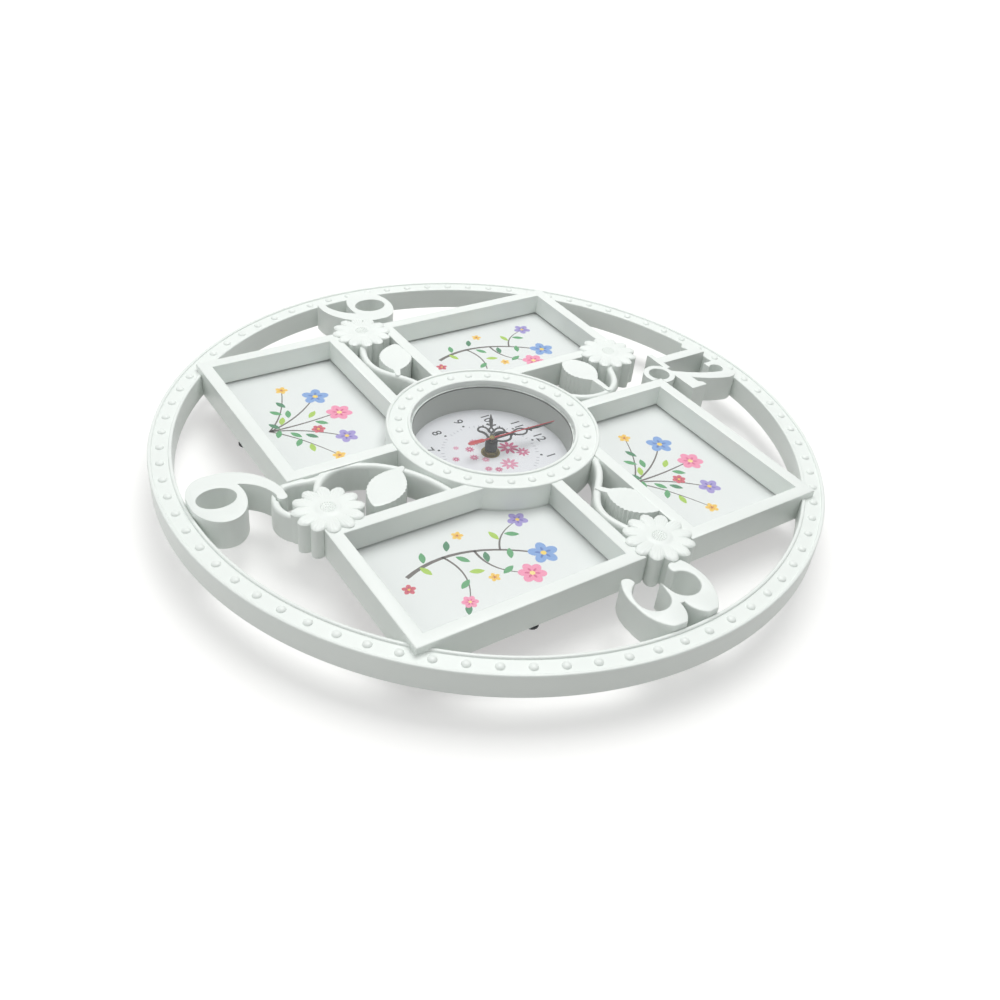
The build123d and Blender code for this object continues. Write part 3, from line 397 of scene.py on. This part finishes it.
def roundStems(bm):
    # cuts the flat tops of the stems across and lowers them towards their free edges, as a half round
    height, low, radius, onLevel = level["stem"] * mm, level["back"] * mm, stemEdge["radius"] * mm, near * mm
    tops = [face for face in bm.faces
            if face.normal.z > 0 and all(abs(vert.co.z - height) < onLevel for vert in face.verts)]
    tops = set(bmesh.ops.triangulate(bm, faces=tops)["faces"])
    around = {edge for face in tops for edge in face.edges}
    free = [edge for edge in around if not tops.issuperset(edge.link_faces) and clearOfMoulding(edge)
            and edge.calc_face_angle_signed(0) > convexTurn]
    sides = bmesh.new()
    rails = [sides.edges.new([sides.verts.new(vert.co) for vert in edge.verts]) for edge in free]
    for item in bmesh.ops.extrude_edge_only(sides, edges=rails)["geom"]:
        if isinstance(item, bmesh.types.BMVert):
            item.co.z = low
    nearSide = BVHTree.FromBMesh(sides)
    sides.free()
    bmesh.ops.subdivide_edges(bm, edges=list(around), cuts=stemEdge["cuts"], use_grid_fill=True)
    for vert in bm.verts:
        gap = nearSide.find_nearest(vert.co, radius)[3]
        if gap is not None and abs(vert.co.z - height) < onLevel:
            vert.co.z = height - radius + sqrt(radius ** 2 - (radius - gap) ** 2)
        elif gap is not None and vert.co.z < height and gap < onLevel:
            vert.co.z = low + (vert.co.z - low) * (height - radius - low) / (height - low)


def toothedHalf(share):
    # half the width of the solid's leaf, at a share of its length
    step = min(int(share * leaf["steps"]), leaf["steps"] - 1)
    start, end = [leaf["width"] / 2 * sin(pi * k / leaf["steps"]) + leaf["tooth"] * (k % 2)
                  for k in (step, step + 1)]
    return start + (end - start) * (share * leaf["steps"] - step)


def shapeLeaf(bm, base, tip):
    # cuts the leaf's walls into strips and moves them to the ribbed outline
    base, tip = Vector(base), Vector(tip)
    length = (tip - base).length
    along = (tip - base) / length
    across = Vector((-along.y, along.x))

    def onLeaf(vert):
        # share of the leaf's length, and distance from its middle line
        way = vert.co.xy / mm - base
        return way.dot(along) / length, way.dot(across)

    def onOutline(vert):
        share, side = onLeaf(vert)
        if not -leaf["near"] < share * length < length + leaf["near"]:
            return False
        return abs(abs(side) - toothedHalf(min(max(share, 0), 1))) < leaf["near"]

    edges = [edge for edge in bm.edges if all(onOutline(vert) for vert in edge.verts)
             and abs(edge.verts[0].co.z - edge.verts[1].co.z) < near * mm and clearOfMoulding(edge)]
    bmesh.ops.subdivide_edges(bm, edges=edges, cuts=leaf["cuts"], use_grid_fill=True)
    for vert in bm.verts:
        if onOutline(vert) and not touchesMoulding(vert.co):
            share, side = onLeaf(vert)
            share = min(max(share, 0), 1)
            bow = sin(pi * share)
            half = leaf["swell"] / 2 * bow ** leaf["blunt"]
            half += leaf["rib"] * bow * cos(2 * pi * leaf["ribs"] * share)
            spot = (base + along * share * length + across * copysign(half, side)) * mm
            if not touchesMoulding(spot):
                vert.co.xy = spot


def petalEdge(offAxis):
    # distance from the middle to the edge of a petal, at an angle off the petal's axis
    middle = daisy["reach"] - daisy["length"] / 2
    half, side = daisy["length"] / 2, daisy["width"] / 2
    a = (cos(offAxis) / half) ** 2 + (sin(offAxis) / side) ** 2
    b = -2 * middle * cos(offAxis) / half ** 2
    c = (middle / half) ** 2 - 1
    return (-b + sqrt(max(b * b - 4 * a * c, 0))) / (2 * a)


def daisyPoint(share, angle):
    # a point of the flower's top: share is the way out from the middle
    pitch = 2 * pi / daisy["petals"]
    turn = (angle - radians(daisy["start"])) / pitch
    offAxis = (turn - round(turn)) * pitch
    outward = min(max((share - daisy["petalsFrom"]) / (1 - daisy["petalsFrom"]), 0), 1)
    edge = daisy["reach"] + (petalEdge(offAxis) - daisy["reach"]) * outward
    radius = share * edge
    valley = abs(offAxis) / (pitch / 2)
    height = daisy["top"] + daisy["dome"] * sin(pi * outward)
    height -= daisy["groove"] * valley ** 3 * outward
    height += daisy["ridge"] * cos(2 * pi * daisy["ridges"] * offAxis / pitch) * min(1, 2 * outward)
    if share > daisy["brimFrom"]:
        height -= daisy["edge"] * ((share - daisy["brimFrom"]) / (1 - daisy["brimFrom"])) ** 2
    if radius < daisy["eye"]:
        height = daisy["top"] - daisy["eyeSunk"] + daisy["eyeRise"] * sqrt(1 - (radius / daisy["eye"]) ** 2)
        height -= daisy["dishDrop"] * max(0, 1 - (radius / daisy["dish"]) ** 2)
    return Vector((radius * cos(angle), radius * sin(angle), height)) * mm


def addDaisy(bm, middle):
    # one radius spun round the middle, shaped into petals, then closed below and seeded
    head = bmesh.new()
    row = [head.verts.new((share, 0, 0)) for share in daisy["stations"]]
    edges = [head.edges.new(pair) for pair in zip(row, row[1:])]
    bmesh.ops.spin(head, geom=row + edges, cent=(0, 0, 0), axis=(0, 0, 1), angle=2 * pi,
                   steps=daisy["petals"] * daisy["steps"], use_merge=True)
    bmesh.ops.remove_doubles(head, verts=head.verts[:], dist=1e-5)
    for vert in head.verts:
        vert.co = daisyPoint(vert.co.xy.length, atan2(vert.co.y, vert.co.x))
    rimEdges = [edge for edge in head.edges if edge.is_boundary]
    for item in bmesh.ops.extrude_edge_only(head, edges=rimEdges)["geom"]:
        if isinstance(item, bmesh.types.BMVert):
            item.co.z = level["rim"] * mm
    bmesh.ops.holes_fill(head, edges=[edge for edge in head.edges if edge.is_boundary], sides=0)
    bmesh.ops.recalc_face_normals(head, faces=head.faces[:])
    for circle in range(seeds["circles"] + 1):
        count = max(1, seeds["each"] * circle)
        for index in range(count):
            spot = daisyPoint(circle * seeds["pitch"] / daisy["reach"], 2 * pi * index / count)
            bmesh.ops.create_icosphere(head, subdivisions=1, radius=seeds["size"] * mm,
                                       matrix=Matrix.Translation(spot))
    bmesh.ops.translate(head, verts=head.verts[:], vec=(middle.x, middle.y, 0))
    joinInto(bm, head)


def flowerMiddle(node):
    # the eye is the highest part of the spray
    points = [vert.co for vert in frame["nodes"][node].data.vertices]
    highest = max(point.z for point in points)
    eye = [point for point in points if point.z > highest - sliver * mm]
    return sum(eye, Vector()) / len(eye)


for hour in hours:
    node = "flower_spray_" + hour
    bm = mergedCopy(node)
    bmesh.ops.bisect_plane(bm, geom=bm.verts[:] + bm.edges[:] + bm.faces[:], clear_outer=True,
                           plane_co=(0, 0, (level["rim"] - sliver) * mm), plane_no=(0, 0, 1))
    bmesh.ops.holes_fill(bm, edges=[edge for edge in bm.edges if edge.is_boundary], sides=0)
    roundStems(bm)
    shapeLeaf(bm, *leaf["ends"][hour])
    roundEdges(bm, level["leaf"], leaf["soft"], leaf["segments"], clearOfMoulding)
    addDaisy(bm, flowerMiddle(node))
    finishPiece(bm, "spray_" + hour, satinAbs, [node])
print("sprays done")


# Printed paper: each colour is a thin film of ink on the sheet

def paint(ink, faces, colour):
    for face in faces:
        for loop in face.loops:
            loop[ink] = linear(colour)


def thicken(bm, verts, thick, height):
    # gives a flat shape its thickness and height
    faces = list({face for vert in verts for face in vert.link_faces})
    raised = bmesh.ops.extrude_face_region(bm, geom=faces, use_keep_orig=True)["geom"]
    grown = [item for item in raised if isinstance(item, bmesh.types.BMVert)]
    bmesh.ops.translate(bm, verts=grown, vec=(0, 0, thick * mm))
    whole = list(set(verts) | set(grown))
    bmesh.ops.translate(bm, verts=whole, vec=(0, 0, height * mm))
    return whole


ribbonSteps = 12


def ribbon(bm, start, bend, end, widths):
    # a flat tapered strip along one bend, in mm
    a, b, c = Vector(start), Vector(bend), Vector(end)
    verts = bmesh.ops.create_grid(bm, x_segments=ribbonSteps, y_segments=1, size=1)["verts"]
    for vert in verts:
        t, side = (vert.co.x + 1) / 2, vert.co.y
        spot = a * (1 - t) ** 2 + b * 2 * t * (1 - t) + c * t ** 2
        along = ((b - a) * (1 - t) + (c - b) * t).normalized()
        half = (widths[0] + (widths[1] - widths[0]) * t) / 2
        vert.co = Vector((spot.x - along.y * side * half, spot.y + along.x * side * half, 0)) * mm
    return verts


def inkFilm(bm, ink, verts, colour, height):
    # prints a flat shape
    whole = thicken(bm, verts, film["thick"], height)
    paint(ink, {face for vert in whole for face in vert.link_faces}, colour)


def inkSpot(bm, ink, place, size, turn, colour, height, pinch=0.0, steps=14):
    # an oval, drawn to points at its ends by pinch
    verts = bmesh.ops.create_circle(bm, cap_ends=True, segments=steps, radius=1)["verts"]
    for vert in verts:
        vert.co.y *= 1 - pinch * vert.co.x ** 2
    shape = Matrix.Translation((place[0] * mm, place[1] * mm, 0)) @ Matrix.Rotation(radians(turn), 4, "Z")
    bmesh.ops.transform(bm, matrix=shape @ Matrix.Diagonal((size[0] * mm, size[1] * mm, 1, 1)), verts=verts)
    inkFilm(bm, ink, verts, colour, height)


# in mm: step is from one layer of ink to the next, overlap from one petal to the next, and paper is the
# height of the sheet
film = dict(thick=0.008, step=0.012, overlap=0.0006, paper=25.38, paperColour="#E8ECEA")
# as shares of a blossom's radius
blossom = dict(petalOut=0.56, petal=(0.46, 0.36), throatOut=0.36, throat=(0.2, 0.09), middle=(0.2, 0.2),
               throatSteps=8)


def inkBlossom(bm, ink, place, radius, petals, turn, colours, height):
    # rounded petals, a dark stroke in the throat of each, and a small middle
    petalSize, throatSize, middleSize = [
        [radius * share for share in blossom[piece]] for piece in ("petal", "throat", "middle")]
    petalInk, throatInk, middleInk = colours
    for index in range(petals):
        angle = turn + index * 360 / petals
        out = Vector((cos(radians(angle)), sin(radians(angle)))) * radius
        spot = Vector(place) + out * blossom["petalOut"]
        inkSpot(bm, ink, spot, petalSize, angle, petalInk, height + index * film["overlap"])
        spot = Vector(place) + out * blossom["throatOut"]
        inkSpot(bm, ink, spot, throatSize, angle, throatInk, height + film["step"],
                steps=blossom["throatSteps"])
    inkSpot(bm, ink, place, middleSize, 0, middleInk, height + 2 * film["step"])


inks = dict(twig="#5E5853", green="#4E9E63", lime="#A6CB45", deep="#357F55")
blues = ("#7DA4DA", "#4F77BC", "#F4D35E")
pinks = ("#F193B4", "#D65A87", "#F7E08A")
violets = ("#A295D2", "#7565B3", "#F4D35E")
yellows = ("#F3C94F", "#DE9A35", "#B5623A")
reds = ("#CF5568", "#A93449", "#F3C94F")
# Both pictures are in mm from the opening's middle. Strokes are start, bend, end and widths, leaves are
# place, turn and ink, and blossoms are place, radius, petals, turn and inks.
# upright sheets: a flowering vine
vine = dict(
    strokes=[((-12, -50), (-30, -8), (4, 36), (3.0, 1.4)), ((-19, -20), (2, -10), (22, -24), (1.6, 0.7)),
             ((-15, 2), (6, 0), (17, 18), (1.8, 0.7)), ((-8, 18), (-22, 24), (-27, 41), (1.5, 0.6))],
    leaves=[(-24, -32, 160, "green"), (-12, -36, 20, "lime"), (-27, -12, 150, "deep"),
            (-11, -9, 35, "green"), (3, -7, 70, "lime"), (10, -20, -60, "green"), (-6, 6, -20, "deep"),
            (11, 12, 110, "green"), (-22, 22, 190, "lime"), (-18, 34, 60, "green"), (-2, 22, -25, "green"),
            (30, -30, -30, "deep")],
    blossoms=[(8, 42, 10.5, 5, 20, blues), (21, 24, 9.5, 6, 0, pinks), (-29, 46, 7.5, 5, 50, violets),
              (25, -26, 5.5, 6, 10, pinks), (-33, 0, 4.2, 5, 0, yellows), (13, 0, 4.0, 5, 30, yellows),
              (-2, -54, 4.6, 5, 15, reds)])
# sheets that lie across: a posy of stems that meet below
posy = dict(
    strokes=[((0, -36), (-6, -10), (-28, 12), (1.6, 1.0)), ((0, -36), (2, -12), (-2, 18), (1.8, 1.0)),
             ((0, -36), (6, -12), (27, 10), (1.6, 1.0)), ((0, -36), (-14, -18), (-46, -6), (1.4, 0.7)),
             ((0, -36), (14, -20), (46, -4), (1.4, 0.7))],
    leaves=[(-16, -14, 160, "green"), (-9, -22, 150, "lime"), (12, -20, 30, "green"), (18, -10, 40, "deep"),
            (-30, -14, 200, "deep"), (32, -16, -10, "lime"), (5, 4, 50, "green"), (-8, 2, 130, "lime"),
            (-5, -30, 210, "deep"), (6, -31, -30, "green"), (22, -22, -40, "green"),
            (-21, -22, 220, "green")],
    blossoms=[(-30, 15, 10.5, 5, 10, blues), (-2, 22, 10.0, 6, 0, pinks), (29, 13, 8.5, 5, 40, violets),
              (-49, -5, 5.0, 5, 0, yellows), (49, -3, 5.0, 5, 25, yellows), (12, -2, 5.2, 6, 15, reds)])
inkLeaf = dict(half=(5.2, 2.3), pinch=0.55)


def printedSheet(node, colour, base):
    # copy of the sheet, a little thinner to leave room for the ink
    bm = mergedCopy(node)
    topZ = max(vert.co.z for vert in bm.verts)
    for vert in bm.verts:
        if vert.co.z > topZ - sliver * mm:
            vert.co.z = base * mm
    paint(bm.loops.layers.float_color.new("ink"), bm.faces, colour)
    return bm


for place in places:
    low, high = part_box("photo_pane_" + place)
    art = posy if high.x - low.x > high.y - low.y else vine
    bm = printedSheet("photo_insert_" + place, film["paperColour"], film["paper"])
    picture = bmesh.new()
    pictureInk = picture.loops.layers.float_color.new("ink")
    for start, bend, end, widths in art["strokes"]:
        inkFilm(picture, pictureInk, ribbon(picture, start, bend, end, widths), inks["twig"], 0)
    for x, y, turn, tint in art["leaves"]:
        inkSpot(picture, pictureInk, (x, y), inkLeaf["half"], turn, inks[tint], film["step"],
                inkLeaf["pinch"])
    for x, y, radius, petals, turn, colours in art["blossoms"]:
        inkBlossom(picture, pictureInk, (x, y), radius, petals, turn, colours, 2 * film["step"])
    bmesh.ops.recalc_face_normals(picture, faces=picture.faces[:])
    middle = (low + high) / 2
    bmesh.ops.translate(picture, verts=picture.verts[:], vec=(middle.x, middle.y, film["paper"] * mm))
    joinInto(bm, picture)
    finishPiece(bm, "print_" + place, insertPrint, ["photo_insert_" + place])
print("photo inserts printed")

# Dial: plain numbers, dots, fine ticks and a scatter of small pink daisies

# mm from the middle. A daisy is its place and radius, and its petals are shares of the radius.
dial = dict(paper=18.34, paperColour="#E6E8EC", numberRadius=46.5, numberHeight=7.9, numberWeight=0.008,
            numberInk="#2C3034", dotRadius=39.0, dot=(1.05, 1.05), tickRadius=36.2, tick=(1.6, 0.25),
            tickSteps=6, tickInk="#8E8E9A", petals=9, petalSize=(0.43, 0.17), petalOut=0.57, petalPinch=0.3,
            petalSteps=10, petalInks=("#C4557F", "#CC6A8E", "#DA8FAB"), daisyTurn=17,
            daisies=[(0.5, 16, 8.6), (10, 23, 5.8), (18.5, 5, 7.4), (21, -6, 3.3), (17, -12.5, 3.2),
                     (6, -8, 3.4), (-10.5, -12, 3.8), (0, -14.5, 3.8), (-16.5, -20.5, 2.5), (-4, -28, 3.1),
                     (-17, -4, 4.2)])


def addNumber(bm, text, place):
    # built-in font, made a mesh, set to the right height and centred on its place
    curve = bpy.data.curves.new("number", "FONT")
    curve.body = text
    curve.offset = dial["numberWeight"]
    holder = bpy.data.objects.new("number", curve)
    flat = bpy.data.meshes.new_from_object(holder)
    figure = bmesh.new()
    figure.from_mesh(flat)
    bpy.data.objects.remove(holder)
    bpy.data.curves.remove(curve)
    bpy.data.meshes.remove(flat)
    bmesh.ops.remove_doubles(figure, verts=figure.verts[:], dist=1e-4)
    lows = [min(vert.co[axis] for vert in figure.verts) for axis in (0, 1)]
    highs = [max(vert.co[axis] for vert in figure.verts) for axis in (0, 1)]
    scale = dial["numberHeight"] * mm / (highs[1] - lows[1])
    for vert in figure.verts:
        vert.co.x = (vert.co.x - (lows[0] + highs[0]) / 2) * scale + place[0] * mm
        vert.co.y = (vert.co.y - (lows[1] + highs[1]) / 2) * scale + place[1] * mm
    figureInk = figure.loops.layers.float_color.new("ink")
    inkFilm(figure, figureInk, figure.verts[:], dial["numberInk"], 0)
    joinInto(bm, figure)


bm = printedSheet("dial_face", dial["paperColour"], dial["paper"])
picture = bmesh.new()
pictureInk = picture.loops.layers.float_color.new("ink")
for minute in range(60):
    angle = radians(90 - minute * 6)
    out = Vector((cos(angle), sin(angle)))
    if minute % 5:
        inkSpot(picture, pictureInk, out * dial["tickRadius"], dial["tick"], degrees(angle), dial["tickInk"],
                0, steps=dial["tickSteps"])
    else:
        inkSpot(picture, pictureInk, out * dial["dotRadius"], dial["dot"], 0, dial["numberInk"], 0)
        addNumber(picture, str(minute // 5 or 12), out * dial["numberRadius"])
for index, (x, y, radius) in enumerate(dial["daisies"]):
    for petal in range(dial["petals"]):
        turn = index * dial["daisyTurn"] + petal * 360 / dial["petals"]
        out = Vector((cos(radians(turn)), sin(radians(turn))))
        half = [radius * share for share in dial["petalSize"]]
        tint = dial["petalInks"][index % len(dial["petalInks"])]
        inkSpot(picture, pictureInk, Vector((x, y)) + out * radius * dial["petalOut"], half, turn, tint, 0,
                dial["petalPinch"], dial["petalSteps"])
bmesh.ops.recalc_face_normals(picture, faces=picture.faces[:])
bmesh.ops.translate(picture, verts=picture.verts[:], vec=(0, 0, dial["paper"] * mm))
joinInto(bm, picture)
finishPiece(bm, "dialPrintFace", dialPrint, ["dial_face"])
print("dial printed")

# Hands: the second hand is a stamped strip with its upper edges broken

secondHand = dict(soft=0.14, segments=2)
bm = mergedCopy("second_hand")
roundEdges(bm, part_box("second_hand")[1].z / mm, secondHand["soft"], secondHand["segments"])
finishPiece(bm, "second_hand_plate", redLacquer, ["second_hand"], "second_train")

# Hour and minute hand: pierced scrollwork, drawn pointing up. Strokes are start, bend, end and widths, in
# mm. Scrolls are on both sides of the middle line, bars once.
hourHand = dict(
    node="hour_hand", rider="hour_train", clockwise=302.0, bore=2.6, hub=4.8,
    scrolls=[
        ((2.5, 3.5), (3.6, 9.5), (7.4, 11), (1.3, 1.7)), ((7.0, 11), (11, 11.6), (10, 15.2), (1.6, 1.1)),
        ((10, 15), (9, 18.6), (5.8, 17.8), (1.1, 1.1)), ((6.2, 17.4), (6.3, 19), (6.4, 20.6), (1.6, 0.3)),
        ((6, 17.9), (3.6, 17.4), (2.4, 14), (1.1, 1.1)), ((2.5, 14.3), (2, 11.4), (0, 10.6), (1.1, 1.1)),
        ((0, 11), (3.4, 14), (0, 17.8), (1.0, 1.0))],
    bars=[((0, 4), (0, 8), (0, 11.4), (1.6, 1.3)), ((-3.7, 22.2), (0, 19.8), (3.7, 22.2), (0.9, 0.9)),
          ((0, 17), (0, 22), (0, 27), (1.3, 2.4)), ((0, 26.9), (0, 31), (0, 36), (2.4, 0.4))])
minuteHand = dict(
    node="minute_hand", rider="minute_train", clockwise=1.5, bore=1.5, hub=3.7,
    scrolls=[
        ((2, 2.6), (5.4, 4), (6.2, 8.6), (1.2, 1.5)), ((6.2, 8.3), (6.5, 13.6), (2.6, 15.4), (1.4, 1.3)),
        ((3, 15.2), (1, 16.6), (0, 19.4), (1.3, 1.1)), ((0, 19.4), (3.4, 20.6), (4, 25.6), (1.1, 1.0)),
        ((4, 25.4), (4.2, 29.6), (0, 31.6), (1.0, 1.0))],
    bars=[((0, 3), (0, 10), (0, 19.5), (1.5, 1.0)), ((-2.8, 20), (0, 18.4), (2.8, 20), (1.0, 1.0)),
          ((-2.5, 34.6), (0, 32.6), (2.5, 34.6), (0.9, 0.9)), ((0, 31), (0, 36), (0, 41), (1.1, 1.9)),
          ((0, 40.9), (0, 48), (0, 55), (1.9, 0.4))])
# each stroke lies a lift above the last, and weight widens them all
handPlate = dict(thick=0.4, lift=0.005, steps=48, weight=1.35)


def mirrored(stroke):
    return [(-x, y) for x, y in stroke[:3]] + [stroke[3]]


for hand in (hourHand, minuteHand):
    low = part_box(hand["node"])[0].z / mm
    top = low + handPlate["thick"]
    bm = turnedProfile([(hand["bore"], low), (hand["hub"], low), (hand["hub"], top), (hand["bore"], top)],
                       handPlate["steps"])
    strokes = hand["scrolls"] + [mirrored(stroke) for stroke in hand["scrolls"]] + hand["bars"]
    for index, (start, bend, end, widths) in enumerate(strokes):
        strip = ribbon(bm, start, bend, end, [width * handPlate["weight"] for width in widths])
        thicken(bm, strip, handPlate["thick"], low + (index + 1) * handPlate["lift"])
    bmesh.ops.rotate(bm, verts=bm.verts[:], cent=(0, 0, 0),
                     matrix=Matrix.Rotation(radians(-hand["clockwise"]), 3, "Z"))
    bmesh.ops.recalc_face_normals(bm, faces=bm.faces[:])
    finishPiece(bm, hand["node"] + "_plate", blackLacquer, [hand["node"]], hand["rider"])
print("hands done")

# Thread of the bush, from the nut up: a ridge wound round it, drawn coarser than real so that it shows

thread = dict(root=4.1, crest=4.75, pitch=1.05, ridge=0.8, steps=30, nutGap=0.1, top=27.7)
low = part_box("dial_nut")[1].z / mm + thread["nutGap"]
turns = (thread["top"] - thread["ridge"] - low) / thread["pitch"]
bm = bmesh.new()
ridge = [bm.verts.new((r * mm, 0, (low + share * thread["ridge"]) * mm))
         for r, share in ((thread["root"], 0), (thread["crest"], 0.5), (thread["root"], 1))]
sides = [bm.edges.new(pair) for pair in zip(ridge, ridge[1:] + ridge[:1])]
count = round(turns * thread["steps"])
bmesh.ops.spin(bm, geom=ridge + sides, cent=(0, 0, 0), axis=(0, 0, 1), angle=2 * pi * turns, steps=count,
               dvec=(0, 0, turns * thread["pitch"] * mm / count))
bmesh.ops.holes_fill(bm, edges=[edge for edge in bm.edges if edge.is_boundary], sides=0)
bmesh.ops.recalc_face_normals(bm, faces=bm.faces[:])
finishPiece(bm, "bushThread", sparkedBlack)
print("thread done")

# Plain CAD pieces keep their shapes and get their own finish

finishes = dict(
    white_moulding=satinAbs, clear_pane=clearPane, fibre_board=hardboard, black_plastic=sparkedBlack,
    steel=zincSteel, dial_backing=styrene, brass=dullBrass, train_plastic=milkyAcetal, circuit=greenBoard,
    coil_copper=copperWire, battery_skin=cellSleeve, red_hand=redLacquer, black_hand=blackLacquer,
    rotor_magnet=zincSteel, printed_paper=insertPrint, dial_print=dialPrint)
for part in frame["record"]["subparts"]:
    for holder in frame["nodes"][part["node"]].material_slots:
        holder.material = finishes[part["material_slot"]]

# Camera, floor and light

# fitted to the photo: place in mm, and the directions of its own axes
view = dict(place=(505.522, -373.068, 416.394 + level["ring"]), lens=36.36, sensor=36, clip=10,
            right=(0.548396, 0.831183, 0.091629), down=(0.550032, -0.276007, -0.788216),
            ahead=(-0.629862, 0.482653, -0.608539))
camera = bpy.data.objects.new("camera", bpy.data.cameras.new("camera"))
camera.data.lens = view["lens"]
camera.data.sensor_width = view["sensor"]
camera.data.clip_start = view["clip"] * mm
columns = (Vector(view["right"]), -Vector(view["down"]), -Vector(view["ahead"]))
camera.matrix_world = Matrix.Translation(Vector(view["place"]) * mm) @ Matrix(columns).transposed().to_4x4()
scene.collection.objects.link(camera)
scene.camera = camera


def seenDirectly(tree):
    # 1 where the camera, a reflection or a clear pane looks, 0 for the light that falls on the clock
    path = addNode(tree, "ShaderNodeLightPath")
    direct = addNode(tree, "ShaderNodeMath", {"operation": "MAXIMUM"}, {
        0: path.outputs["Is Camera Ray"], 1: path.outputs["Is Transmission Ray"]})
    return addNode(tree, "ShaderNodeMath", {"operation": "MAXIMUM"}, {
        0: direct.outputs[0], 1: path.outputs["Is Glossy Ray"]}).outputs[0]


# metres. The floor glows by glow[0] near the clock and by glow[1] from reach[1] on, where it is plain white.
studio = dict(sky=0.36, glow=(0.45, 1.0), reach=(0.3, 0.8), floorHalf=6, floorDrop=0.0005,
              floorLight="#D2D2D0", floorDark="#CDCDCB")
bm = bmesh.new()
bmesh.ops.create_grid(bm, x_segments=1, y_segments=1, size=studio["floorHalf"])
floorMesh = bpy.data.meshes.new("floor")
bm.to_mesh(floorMesh)
bm.free()
floorPiece = bpy.data.objects.new("floor", floorMesh)
floorPiece.location.z = -studio["floorDrop"]
scene.collection.objects.link(floorPiece)
paleFloor = patterned("paleFloor", dict(
    light=studio["floorLight"], dark=studio["floorDark"], patchMm=300, grainMm=8, roughness=0.8,
    spread=0.05, bump=0.0, sockets={"Emission Color": (1, 1, 1, 1)}))
tree = paleFloor.node_tree
shader = next(node for node in tree.nodes if node.type == "BSDF_PRINCIPLED")
coords = next(node for node in tree.nodes if node.type == "TEX_COORD")
away = addNode(tree, "ShaderNodeVectorMath", {"operation": "LENGTH"}, {0: coords.outputs["Object"]})
fade = addNode(tree, "ShaderNodeMapRange", inputs={
    "Value": away.outputs["Value"], "From Min": studio["reach"][0], "From Max": studio["reach"][1],
    "To Min": studio["glow"][0], "To Max": studio["glow"][1]})
glow = addNode(tree, "ShaderNodeMath", {"operation": "MULTIPLY"}, {
    0: fade.outputs["Result"], 1: seenDirectly(tree)})
tree.links.new(glow.outputs[0], shader.inputs["Emission Strength"])
floorMesh.materials.append(paleFloor)

world = bpy.data.worlds.new("studio")
scene.world = world
world.use_nodes = True
tree = world.node_tree
tree.nodes.clear()
strength = addNode(tree, "ShaderNodeMapRange", inputs={
    "Value": seenDirectly(tree), "To Min": studio["sky"], "To Max": 1.0})
sky = addNode(tree, "ShaderNodeBackground", inputs={
    "Color": (1, 1, 1, 1), "Strength": strength.outputs["Result"]})
addNode(tree, "ShaderNodeOutputWorld", inputs={"Surface": sky.outputs["Background"]})

# place and size in metres, watts
lamps = dict(key=((-0.35, 0.35, 1.6), 1.1, 19), side=((-0.4, -1.3, 1.0), 0.9, 3.5),
             fill=((0.9, -0.7, 1.1), 0.9, 1))
for name, (place, size, power) in lamps.items():
    lamp = bpy.data.objects.new(name, bpy.data.lights.new(name, "AREA"))
    lamp.data.size = size
    lamp.data.energy = power
    lamp.location = place
    lamp.rotation_euler = (-Vector(place)).to_track_quat("-Z", "Y").to_euler()
    scene.collection.objects.link(lamp)
scene.view_settings.view_transform = "Standard"
print("camera and light ready")
